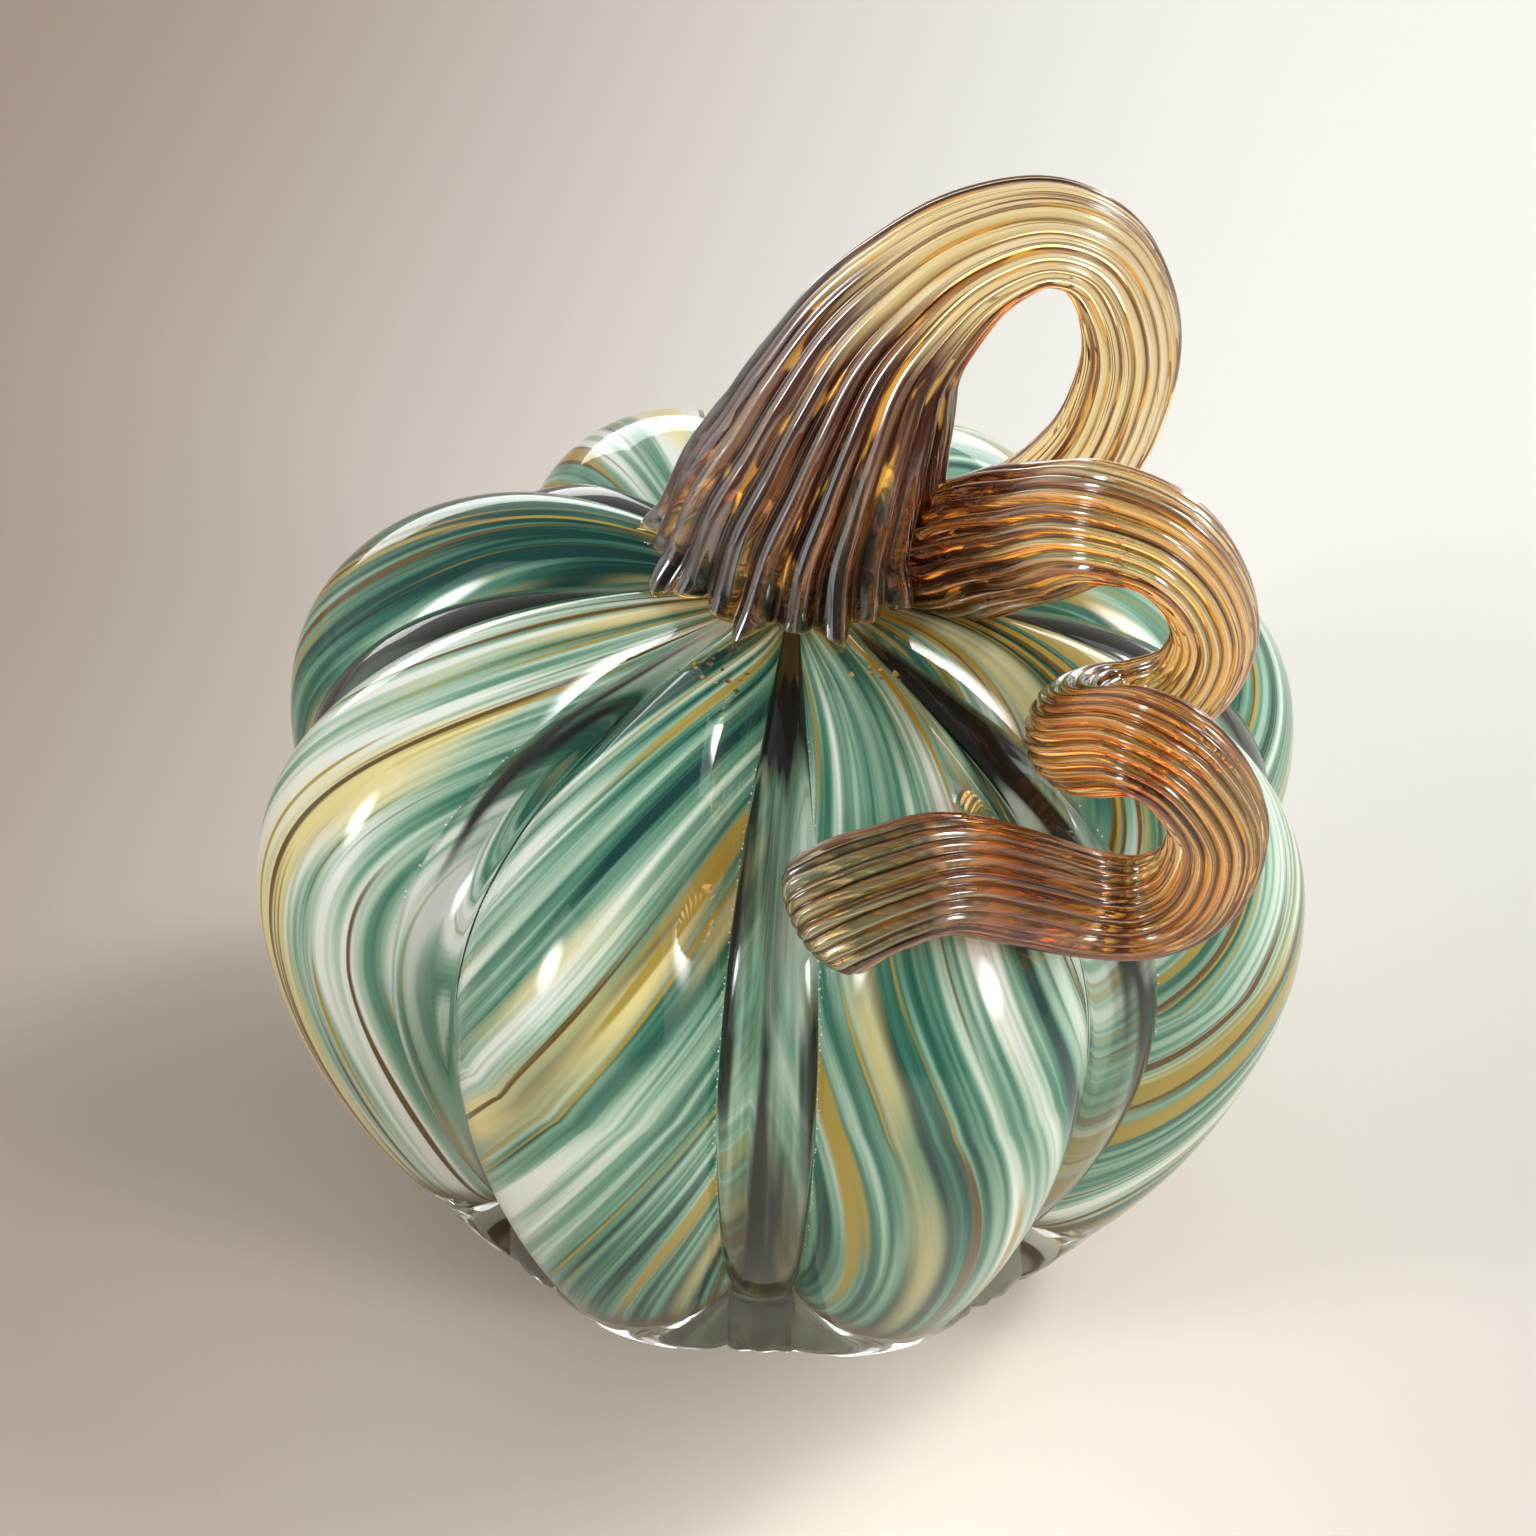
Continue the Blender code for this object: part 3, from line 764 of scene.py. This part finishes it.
def casing_glass():
    """Clear fire-polished glass: faint waves from the blowing, and a roughness that varies a little."""
    material, add = new_material("clear casing glass")
    place = add("ShaderNodeTexCoord").outputs["Object"]
    waves = add("ShaderNodeTexNoise", {"Vector": place, "Scale": 55.0, "Detail": 1.0}).outputs["Fac"]
    bump = add("ShaderNodeBump", {"Height": waves, "Strength": 0.06, "Distance": 0.001})
    haze = add("ShaderNodeTexNoise", {"Vector": place, "Scale": 30.0, "Detail": 3.0}).outputs["Fac"]
    least, most = 0.3, 0.7
    glass = add(
        "ShaderNodeBsdfPrincipled",
        {
            "Base Color": ramp(add, haze, ((least, (0.97, 0.985, 0.98)), (most, (0.985, 0.985, 0.975)))),
            "Roughness": between(add, haze, least, most, 0.03, 0.06),
            "IOR": GLASS_IOR,
            "Transmission Weight": 1.0,
            "Normal": bump.outputs[0],
        },
    )
    surface = lets_lamps_through(add, glass.outputs[0], (0.96, 0.97, 0.965))
    add("ShaderNodeOutputMaterial", {"Surface": surface})
    return material


def speckled_glass(name, scale, dull, bright, roughness):
    """Small grains of glass, dull to bright by fine noise. Dull and bright are each a mark and a colour."""
    material, add = new_material(name)
    place = add("ShaderNodeTexCoord").outputs["Object"]
    spots = add("ShaderNodeTexNoise", {"Vector": place, "Scale": scale}).outputs["Fac"]
    tone = ramp(add, spots, (dull, bright))
    grain = add("ShaderNodeBsdfPrincipled", {"Base Color": tone, "Roughness": roughness, "Metallic": 0.0})
    add("ShaderNodeOutputMaterial", {"Surface": grain.outputs[0]})
    return material


def streaked_glass(colours):
    """Opaque glass drawn out in streaks: broad, middling and fine ones mixed, gold and brown over these.

    Each lobe has its own paleness and share of gold; painted reflection pales the back lobes and painted
    shade darkens the crown. The folds behind the ribs get painted shade, with rusty feet.
    """
    material, add = new_material("streaked colour glass")
    path = carried(add, "streak")
    plumb = carried(add, "plumb")
    tone = parts_of(add, carried(add, "tone"))
    fold = parts_of(add, carried(add, "fold"))
    low = parts_of(add, carried(add, "low"))
    # The tone's first part is the paleness, with painted reflection and painted shade in it
    sums = tone["X"]
    for share, drawn in ((0.30, BROAD_STREAKS), (0.40, MIDDLING_STREAKS), (0.30, FINE_STREAKS)):
        sums = maths(add, "MULTIPLY_ADD", streaks(add, path, *drawn), share, sums)
    greens = (
        (0.16, colours.deep_green),
        (0.34, colours.teal),
        (0.52, colours.sea_green),
        (0.68, colours.mint),
        (0.84, colours.milk),
    )
    colour = ramp(add, sums, greens)
    for (scale, along, shift, mark, softness), hue in (
        (STRAW_STREAKS, colours.straw),
        (GOLD_STREAKS, colours.gold),
        (GOLD_THREADS, colours.gold),
        (BROWN_THREADS, colours.brown),
    ):
        mark = maths(add, "MULTIPLY_ADD", tone["Y"], GOLD_GAIN, mark)
        mask = streaks(add, path, scale, along, shift, mark, maths(add, "ADD", mark, softness))
        colour = mixed(add, mask, colour, hue)
    behind = ((0.1, colours.shade), (0.5, colours.sea_green), (0.9, colours.mint))
    behind = ramp(add, streaks(add, plumb, *FOLD_STREAKS), behind)
    rusty = mixed(add, streaks(add, plumb, *RUST_STREAKS), colours.rust, colours.gold)
    behind = mixed(add, fold["Z"], behind, mixed(add, FOLD_RUST_SHARE, behind, rusty))
    colour = mixed(add, fold["X"], colour, behind)
    # Painted shade: dark veins in the folds behind the ribs
    veins = maths(add, "ADD", streaks(add, plumb, *SHADE_VEINS), fold["Y"])
    veins = maths(add, "MULTIPLY", between(add, veins, *SHADE_VEIN_MARKS), low["Z"])
    colour = mixed(add, veins, colour, colours.smoke)
    colour = mixed(add, low["X"], colour, mixed(add, EDGE_RUST_SHARE, colour, colours.rust))
    # Painted light: the underside of the colour turns milky white
    colour = mixed(add, low["Y"], colour, colours.milk)
    glass = add(
        "ShaderNodeBsdfPrincipled", {"Base Color": colour, "Roughness": 0.6, "Specular IOR Level": 0.0}
    )
    add("ShaderNodeOutputMaterial", {"Surface": glass.outputs[0]})
    return material


def amber_glass(name, stops, tint, polish, density, clear_share):
    """Ribbed amber glass, deeper in colour where it is thicker, with painted glints of light in its
    grooves.

    Its colour changes along the rod by stops, with darker streaks and paler ones drawn along it, the paler
    ones thinner glass and partly painted highlight. Painted shade darkens each groove and each edge seen
    aslant. A hard polish lies on the ribs' crests up to a place along the rod.
    Light leaves the rod unbent.
    """
    material, add = new_material(name)
    grain = carried(add, "grain")
    rib = carried(add, "rib", "Fac")
    uneven = streaks(add, grain, *AMBER_UNEVEN)
    along = maths(add, "MULTIPLY_ADD", uneven, UNEVEN_REACH, carried(add, "along", "Fac"))
    colour = ramp(add, along, stops)
    specks = maths(add, "MULTIPLY", streaks(add, grain, *AMBER_SPECKS), between(add, along, *SPECK_MARKS))
    colour = mixed(add, specks, colour, SPECK_RED)
    darkened = ((AMBER_PATCHES, PATCH_TONE), (AMBER_LINES, LINE_TONE), (AMBER_THREADS, THREAD_TONE))
    for drawn, tone in darkened:
        darker = mixed(add, STREAK_TONE_SHARE, colour, tone, "MULTIPLY")
        colour = mixed(add, streaks(add, grain, *drawn), colour, darker)
    # Paler streaks: thinner glass, and partly painted highlight along the rod
    thin_and_sheen = add("ShaderNodeGamma", {"Color": colour, "Gamma": THIN_AND_SHEEN_GAMMA}).outputs[0]
    colour = mixed(add, streaks(add, grain, *AMBER_THIN_AND_SHEEN), colour, thin_and_sheen)
    # Painted shade in the grooves
    darker = mixed(add, 1.0, colour, GROOVE_SHADE_TONE, "MULTIPLY")
    colour = mixed(add, between(add, rib, *GROOVE_SHADE_MARKS), colour, darker)
    # Painted glints: gold light in the valleys between the ribs
    glints = maths(add, "MULTIPLY", streaks(add, grain, *AMBER_GLINTS), between(add, rib, *GLINT_MARKS))
    colour = mixed(add, glints, colour, GLINT_GOLD)
    colour = mixed(add, carried(add, "rim", "Fac"), colour, RIM_GOLD)
    # Painted shade on the edges seen aslant
    facing = add("ShaderNodeLayerWeight", {"Blend": 0.4}).outputs["Facing"]
    darker = mixed(add, 1.0, colour, EDGE_SHADE_TONE, "MULTIPLY")
    colour = mixed(add, between(add, facing, *EDGE_SHADE_MARKS, soft=True), colour, darker)
    ripple = streaks(add, grain, *AMBER_RIPPLE)
    bump = add("ShaderNodeBump", {"Height": ripple, "Strength": 0.02, "Distance": 0.0004})
    coat = between(add, along, polish + POLISH_FADE, polish, POLISH_LEAST)
    glass = add(
        "ShaderNodeBsdfPrincipled",
        {
            "Base Color": add("ShaderNodeGamma", {"Color": colour, "Gamma": DEEP_GAMMA}).outputs[0],
            "Roughness": between(add, ripple, 0.0, 1.0, 0.02, 0.05),
            "IOR": GLASS_IOR,
            "Transmission Weight": clear_share,
            "Coat Weight": maths(add, "MULTIPLY", coat, between(add, rib, *CREST_MARKS)),
            "Coat IOR": 2.3,
            "Coat Roughness": 0.06,
            "Normal": bump.outputs[0],
        },
    )
    leaving = add("ShaderNodeNewGeometry").outputs["Backfacing"]
    surface = lets_lamps_through(add, glass.outputs[0], tint, leaving)
    depth = add("ShaderNodeVolumeAbsorption", {"Color": LET_THROUGH, "Density": density})
    add("ShaderNodeOutputMaterial", {"Surface": surface, "Volume": depth.outputs[0]})
    return material


class PUMPKIN_OT_casing(Operator):
    """Build the clear casing: lobes with a narrow rib in each groove, flat underneath"""

    bl_idname = "pumpkin.casing"
    bl_label = "Clear Casing"

    def execute(self, context):
        shape = context.scene.pumpkin_body
        turn, polar = body_grid(shape, **CASING_GRID)
        depth = casing_depth(shape, turn)
        radius, height = lobed_layer(shape, polar, 0.0, shape.groove_share, depth, shape.web_share)
        lumps = np.sin(FOOT_WAVES * turn + 2 * np.sin(FOOT_SWAY * turn) + height / FOOT_STEP)
        lumps = lumps * smoothstep(1 - height / FOOT_TOP)
        radius = radius + shape.foot_lumps * lumps * depth**4 * (polar < FOOT_END_POLAR)
        rings = round_the_body(radius, flat_underside(height, 0.0, CASING_ROUNDING), turn)
        crown = shape.widest_height + shape.crown_rise - shape.crown_dip
        piece = closed_surface("casing_glass", rings, [(0, 0, crown), (0, 0, 0)], {})
        piece.data.materials.append(casing_glass())
        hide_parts("clear_casing")
        return {"FINISHED"}


class PUMPKIN_OT_colour(Operator):
    """Build the streaked colour layer: lobes with deep folds, and streaks that drift as they come down"""

    bl_idname = "pumpkin.colour"
    bl_label = "Colour Layer"

    def execute(self, context):
        shape = context.scene.pumpkin_body
        turn, polar = body_grid(shape, **COLOUR_GRID)
        inset = shape.casing_wall
        radius, height = lobed_layer(shape, polar, inset, shape.crease_share, colour_depth(shape, turn))
        inside = smoothstep((FOLD_EDGE - across_rib(shape, turn)) / FOLD_BLEND)
        floor = shape.casing_floor - FOLD_DROP * inside
        height = flat_underside(height, floor, COLOUR_ROUNDING)
        rings = round_the_body(radius, height, turn)
        crown = shape.widest_height + shape.crown_rise - inset - shape.crown_dip
        poles = [(0, 0, crown), rings[-1].mean(axis=0)]
        values = self.values(shape, turn, polar, floor - height, inside)
        piece = closed_surface("streaked_colour", rings, poles, values)
        piece.data.materials.append(streaked_glass(context.scene.pumpkin_streaks))
        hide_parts("colour_layer")
        return {"FINISHED"}

    def values(self, shape, turn, polar, below, inside):
        """What each point carries: the path of its streaks, a plumb path, its tone, its fold and its foot.

        The path is the turn less the drift times the hyperbolic tangent of the way down, with a slow sway.
        """
        crest = math.pi / shape.lobe_count
        nearest = np.floor(turn / (2 * crest)).astype(int) % shape.lobe_count
        drift = np.array(STREAK_DRIFT)[nearest] * DRIFT_REACH
        drift = drift * np.tanh((polar - DRIFT_MIDDLE) / DRIFT_REACH)
        drawn = turn - drift + STREAK_SWAY * np.sin(4 * polar + 2 * nearest + math.pi)
        # Painted shade: the folds darken towards the crown, under the stem
        top = (1 - past(polar, CROWN_FOLD_SHADE)) * round_steps(FOLD_CROWN_SHADE, turn, 0.0)
        plumb = np.maximum(round_steps(FOLD_PLUMB, turn, 0.0), top)
        # Painted shade: how dark each fold behind a rib is made
        smoke = round_steps(FOLD_SHADE, turn, 0.0)
        smoke = smoke + (FOLD_DARKEST_SHADE - smoke) * top
        # Painted shade near the crown, and on the back lobes a painted reflection that makes them paler
        pale_sheen_and_shade = round_steps(LOBE_PALE_AND_SHEEN, turn, crest) - CROWN_SHADE_DEPTH * (1 - past(polar, CROWN_SHADE))
        parts = {
            "streak": (np.cos(drawn), np.sin(drawn), polar),
            "plumb": (np.cos(turn), np.sin(turn), polar),
            "tone": (pale_sheen_and_shade, round_steps(LOBE_GOLD, turn, crest), 0.0),
            "fold": (inside * plumb, smoke, past(polar, FOLD_RUST)),
            # Rust at the colour's lower edge, and painted light that turns its underside milky
            "low": (past(below, RUSTY_EDGE), past(below, PAINTED_LIGHT_UNDERSIDE), inside),
        }
        return {label: with_poles(columns(*values)) for label, values in parts.items()}


class PUMPKIN_OT_bubbles(Operator):
    """String small bubbles in the clear glass along both edges of each groove"""

    bl_idname = "pumpkin.bubbles"
    bl_label = "Groove Bubbles"

    def execute(self, context):
        shape = context.scene.pumpkin_body
        shake = np.random.default_rng(BUBBLE_SEED)
        crests = math.pi / shape.lobe_count * (1 + 2 * np.arange(shape.lobe_count))[:, None]
        edges = (crests + shape.lobe_half_angle * np.array([-BUBBLE_LINE, BUBBLE_LINE])).reshape(-1, 1)
        polar = np.radians(np.linspace(*BUBBLE_REACH, shape.bubble_count)) + 0 * edges
        polar = polar + np.radians(BUBBLE_SHAKE_DOWN) * shake.standard_normal(polar.shape)
        turn = edges + np.radians(BUBBLE_SHAKE_ROUND) * shake.standard_normal(polar.shape)
        depth = casing_depth(shape, turn)
        radius, height = lobed_layer(shape, polar, shape.bubble_inset, shape.groove_share, depth)
        centres = round_the_body(radius, height, turn).reshape(-1, 1, 3)
        sizes = shape.bubble_radius * shake.uniform(*BUBBLE_SIZES, (len(centres), 1, 1))
        piece = scattered("groove_bubbles", centres, sizes)
        dull, bright = (0.35, (0.55, 0.60, 0.56)), (0.65, (0.92, 0.95, 0.92))
        piece.data.materials.append(speckled_glass("bubble skin", 900.0, dull, bright, roughness=0.15))
        return {"FINISHED"}


class PUMPKIN_OT_core(Operator):
    """Finish the first clear bubble, which the colour hides"""

    bl_idname = "pumpkin.core"
    bl_label = "Core Bubble"

    def execute(self, context):
        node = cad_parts["core_bubble"]
        node.data.materials.clear()
        node.data.materials.append(casing_glass())
        return {"FINISHED"}


class PUMPKIN_OT_stem(Operator):
    """Build the stem: a fluted foot on the crown, a leaning trunk and a loop"""

    bl_idname = "pumpkin.stem"
    bl_label = "Stem"

    def execute(self, context):
        shape = context.scene.pumpkin_body
        amber = context.scene.pumpkin_amber
        rod = Rod(STEM_ROUTE, amber)
        probe = np.linspace(0, HEM_SEARCH, HEM_SEARCH_ROWS)[:, None] + 0 * rod.angle
        tongue = self.tongue(shape, rod.points(probe)[0])
        trial = rod.points(probe, self.flare(amber, probe, tongue))
        above = trial[..., 2] - crown_height(shape, trial[..., 0], trial[..., 1], HEM_GROOVE)
        last_below = len(probe) - 1 - np.argmax((above < 0)[::-1], axis=0)
        hem = np.take_along_axis(probe, last_below[None, :], axis=0) + amber.arch_rise * (1 - tongue)
        place = hem + (rod.end - hem) * np.linspace(0, 1, STEM_ROWS)[:, None] ** STEM_CROWDING
        rings = rod.points(place, self.flare(amber, place, tongue))
        poles = [rings[0].mean(axis=0), rings[-1].mean(axis=0)]
        rim = with_poles(1 - smoothstep((place - hem) / RIM_WIDTH))
        piece = closed_surface("amber_stem", rings, poles, rod.values(place) | {"rim": rim})
        stops = (
            (0.0, amber.garnet),
            (0.10, amber.root_beer),
            (0.375, amber.root_beer),
            (0.45, amber.honey),
            (1.0, amber.honey),
        )
        glass = amber_glass(
            "amber stem glass",
            stops,
            tint=(0.30, 0.18, 0.08),
            polish=0.36,
            density=28.0,
            clear_share=1.0,
        )
        piece.data.materials.append(glass)
        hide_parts("stem_trunk", "stem_loop")
        return {"FINISHED"}

    def tongue(self, shape, ring):
        """How far each column lies along a tongue of the hem: 1 over a crest, falling to 0 at a groove."""
        away = from_crest(shape, np.arctan2(ring[:, 0], -ring[:, 1])) * shape.lobe_count / math.pi
        return (1 - away) ** 2

    def flare(self, amber, place, tongue):
        """The foot's flare: a lip and pointed tongues that die away up the trunk."""
        fade = np.exp(-np.maximum(place - FLARE_START, 0) / FLARE_LENGTH)
        return (HEM_LIP + amber.hem_reach * tongue) * fade


class PUMPKIN_OT_crumbs(Operator):
    """Strew a few crumbs of amber glass on the crown at the front of the stem's hem"""

    bl_idname = "pumpkin.crumbs"
    bl_label = "Amber Crumbs"

    def execute(self, context):
        shape = context.scene.pumpkin_body
        shake = np.random.default_rng(CRUMB_SEED)
        heaps = np.where(np.arange(CRUMB_COUNT) % 2, *CRUMB_TURNS)
        turn = np.radians(heaps + CRUMB_SPREAD * shake.standard_normal(CRUMB_COUNT))
        radius = shake.uniform(*CRUMB_RADIUS, CRUMB_COUNT)
        x, y = radius * np.sin(turn), -radius * np.cos(turn)
        centres = columns(x, y, crown_height(shape, x, y))[:, None]
        sizes = shake.uniform(*CRUMB_SIZES, (CRUMB_COUNT, 1, 1))
        sizes = sizes * shake.uniform(*CRUMB_STRETCH, (CRUMB_COUNT, 1, 3))
        piece = scattered("amber_crumbs", centres, sizes)
        dull, bright = (0.40, (0.07, 0.04, 0.02)), (0.60, (0.55, 0.36, 0.10))
        piece.data.materials.append(speckled_glass("crumb glass", 600.0, dull, bright, roughness=0.12))
        return {"FINISHED"}


class PUMPKIN_OT_tendril(Operator):
    """Build the tendril: two open turns and a tail with a blunt end"""

    bl_idname = "pumpkin.tendril"
    bl_label = "Tendril"

    def execute(self, context):
        amber = context.scene.pumpkin_amber
        rod = Rod(TENDRIL_ROUTE, amber)
        straight = np.linspace(0, rod.end - amber.tip_rounding, TENDRIL_ROWS)
        quarter = np.linspace(0, math.pi / 2, TIP_ROWS + 2)[1:-1]
        place = np.concatenate([straight, straight[-1] + amber.tip_rounding * np.sin(quarter)])[:, None]
        place = place + 0 * rod.angle
        rounding = np.concatenate([np.ones_like(straight), np.cos(quarter)])[:, None]
        left = rod.end - place
        lumps = np.sin(left / TIP_STEP + TIP_SWAY * np.sin(TIP_SWAY_TURNS * rod.angle))
        lumps = lumps * smoothstep(1 - left / TIP_REACH)
        rings = rod.points(place, scale=rounding * (1 + amber.tip_lumps * lumps))
        poles = [rod.table[0, :3], rod.table[-1, :3]]
        piece = closed_surface("amber_tendril", rings, poles, rod.values(place))
        stops = (
            (0.0, amber.root_beer),
            (0.20, amber.root_beer),
            (0.27, amber.gold),
            (0.34, amber.gold),
            (0.50, amber.amber),
            (0.70, amber.amber),
            (0.82, amber.deep),
            (0.91, amber.deep),
            (1.0, amber.smoke),
        )
        glass = amber_glass(
            "amber tendril glass",
            stops,
            tint=(0.30, 0.16, 0.06),
            polish=0.40,
            density=70.0,
            clear_share=0.88,
        )
        piece.data.materials.append(glass)
        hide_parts("tendril_upper_turn", "tendril_lower_turn", "tendril_tail")
        return {"FINISHED"}


class PUMPKIN_OT_stage(Operator):
    """Build the floor, the soft lights and the camera"""

    bl_idname = "pumpkin.stage"
    bl_label = "Stage"

    def execute(self, context):
        studio = context.scene.pumpkin_studio
        self.floor(context, studio)
        self.world(context)
        self.lights(context)
        self.camera(context, studio)
        context.scene.view_settings.view_transform = "Standard"
        return {"FINISHED"}

    def floor(self, context, studio):
        """A floor: pale far off, with painted light paler at the right, painted shade at the left and a
        painted shadow at the object's left front.
        """
        mesh = bpy.data.meshes.new("floor")
        corners = [(x * FLOOR_HALF, y * FLOOR_HALF, 0) for x, y in ((-1, -1), (1, -1), (1, 1), (-1, 1))]
        mesh.from_pydata(corners, [], [(0, 1, 2, 3)])
        floor = bpy.data.objects.new("floor", mesh)
        context.scene.collection.objects.link(floor)
        material, add = new_material("floor paper")
        place = add("ShaderNodeTexCoord").outputs["Object"]
        parts = parts_of(add, place)
        # Painted light and shade: paler towards the right and back, darker towards the left
        slant = maths(add, "MULTIPLY_ADD", parts["Y"], FLOOR_SLANT, parts["X"])
        right = between(add, parts["X"], *FLOOR_RIGHT)
        front = mixed(add, right, studio.floor_front, studio.floor_right)
        light = mixed(add, between(add, parts["Y"], *FLOOR_BACK, soft=True), front, studio.floor_light)
        colour = mixed(add, between(add, slant, *FLOOR_ACROSS, soft=True), studio.floor_dark, light)
        # Painted shadow at the object's left front
        shade = between(add, distance(add, place, PAINTED_SHADOW_MIDDLE), *PAINTED_SHADOW_MARKS, soft=True)
        colour = mixed(add, shade, colour, studio.floor_dark)
        far = between(add, distance(add, place, (0.0, 0.0, 0.0)), *FLOOR_FAR)
        colour = mixed(add, far, colour, studio.floor_light)
        seen = add("ShaderNodeLightPath").outputs["Is Camera Ray"]
        near = mixed(add, seen, studio.floor_near, studio.floor_light)
        colour = mixed(add, between(add, parts["Y"], *FLOOR_NEAR), colour, near)
        paper = {"Base Color": colour, "Roughness": 0.9, "Specular IOR Level": 0.1}
        paper = add("ShaderNodeBsdfPrincipled", paper)
        add("ShaderNodeOutputMaterial", {"Surface": paper.outputs[0]})
        mesh.materials.append(material)

    def world(self, context):
        """Soft light from all round: dim in front, bright behind, with a ceiling dimmer in reflections."""
        world = bpy.data.worlds.new("studio")
        context.scene.world = world
        add = emptied(world)
        parts = parts_of(add, add("ShaderNodeTexCoord").outputs["Generated"])
        rays = add("ShaderNodeLightPath").outputs
        colour = mixed(add, between(add, parts["Y"], *BACK_MARKS), WORLD_FRONT, WORLD_BACK)
        ceiling = mixed(add, rays["Is Glossy Ray"], CEILING, CEILING_MIRRORED)
        colour = mixed(add, between(add, parts["Z"], *CEILING_MARKS), colour, ceiling)
        behind = maths(add, "MAXIMUM", rays["Is Camera Ray"], rays["Is Transmission Ray"])
        colour = mixed(add, behind, colour, BACKDROP)
        light = add("ShaderNodeBackground", {"Color": colour, "Strength": WORLD_STRENGTH})
        add("ShaderNodeOutputWorld", {"Surface": light.outputs[0]})

    def lights(self, context):
        """Tall soft boxes at the front right and left, a panel behind, and a card seen in reflections."""
        for name, azimuth, elevation, away, aim, width, height, power in LAMPS:
            lamp = bpy.data.lights.new(name, "AREA")
            lamp.shape = "RECTANGLE"
            lamp.size = width
            lamp.size_y = height
            lamp.energy = power
            box = bpy.data.objects.new(name, lamp)
            box.visible_camera = False
            if name == RIM_CARD:
                box.visible_diffuse = False
            else:
                self.glow(lamp)
            box.matrix_world = around(math.radians(azimuth), math.radians(elevation), away, aim)
            context.scene.collection.objects.link(box)

    def glow(self, lamp):
        """Give a lamp a bright middle that falls off towards its edges."""
        add = emptied(lamp)
        place = add("ShaderNodeNewGeometry").outputs["Parametric"]
        level = between(add, distance(add, place, LAMP_MIDDLE), *LAMP_GLOW, soft=True)
        light = add("ShaderNodeEmission", {"Strength": level})
        add("ShaderNodeOutputLight", {"Surface": light.outputs[0]})

    def camera(self, context, studio):
        """The camera on a circle round the object, rolled about its own axis."""
        camera = bpy.data.cameras.new("camera")
        camera.lens = studio.lens
        camera.shift_x = studio.shift_across
        camera.shift_y = studio.shift_up
        camera.clip_start = NEAREST_SEEN
        view = bpy.data.objects.new("camera", camera)
        place = around(studio.azimuth, studio.elevation, studio.distance, studio.target_height)
        view.matrix_world = place @ Matrix.Rotation(studio.roll, 4, "Z")
        context.scene.collection.objects.link(view)
        context.scene.camera = view


def around(azimuth, elevation, away, height):
    """A place that looks at the axis at a height, from an azimuth off the front and an elevation."""
    turned = Matrix.Rotation(azimuth, 4, "Z") @ Matrix.Rotation(math.pi / 2 - elevation, 4, "X")
    return Matrix.Translation((0, 0, height)) @ turned @ Matrix.Translation((0, 0, away))


class PUMPKIN_PT_panel(Panel):
    """Lists the pieces"""

    bl_idname = "PUMPKIN_PT_panel"
    bl_label = "Glass Pumpkin"
    bl_space_type = "VIEW_3D"
    bl_region_type = "UI"
    bl_category = "Pumpkin"

    def draw(self, context):
        for operator in OPERATORS:
            self.layout.operator(operator.bl_idname)


GROUPS = (
    ("pumpkin_body", BodyShape),
    ("pumpkin_streaks", StreakColours),
    ("pumpkin_amber", AmberShape),
    ("pumpkin_studio", Studio),
)
OPERATORS = (
    PUMPKIN_OT_casing,
    PUMPKIN_OT_colour,
    PUMPKIN_OT_bubbles,
    PUMPKIN_OT_core,
    PUMPKIN_OT_stem,
    PUMPKIN_OT_crumbs,
    PUMPKIN_OT_tendril,
    PUMPKIN_OT_stage,
)


def register():
    for label, group in GROUPS:
        bpy.utils.register_class(group)
        setattr(bpy.types.Scene, label, PointerProperty(type=group))
    for operator in (*OPERATORS, PUMPKIN_PT_panel):
        bpy.utils.register_class(operator)


def unregister():
    for operator in (PUMPKIN_PT_panel, *reversed(OPERATORS)):
        bpy.utils.unregister_class(operator)
    for label, group in reversed(GROUPS):
        delattr(bpy.types.Scene, label)
        bpy.utils.unregister_class(group)


def main():
    register()
    for piece in ("stage", "casing", "colour", "bubbles", "core", "stem", "crumbs", "tendril"):
        getattr(bpy.ops.pumpkin, piece)()


if __name__ == "__main__":
    main()
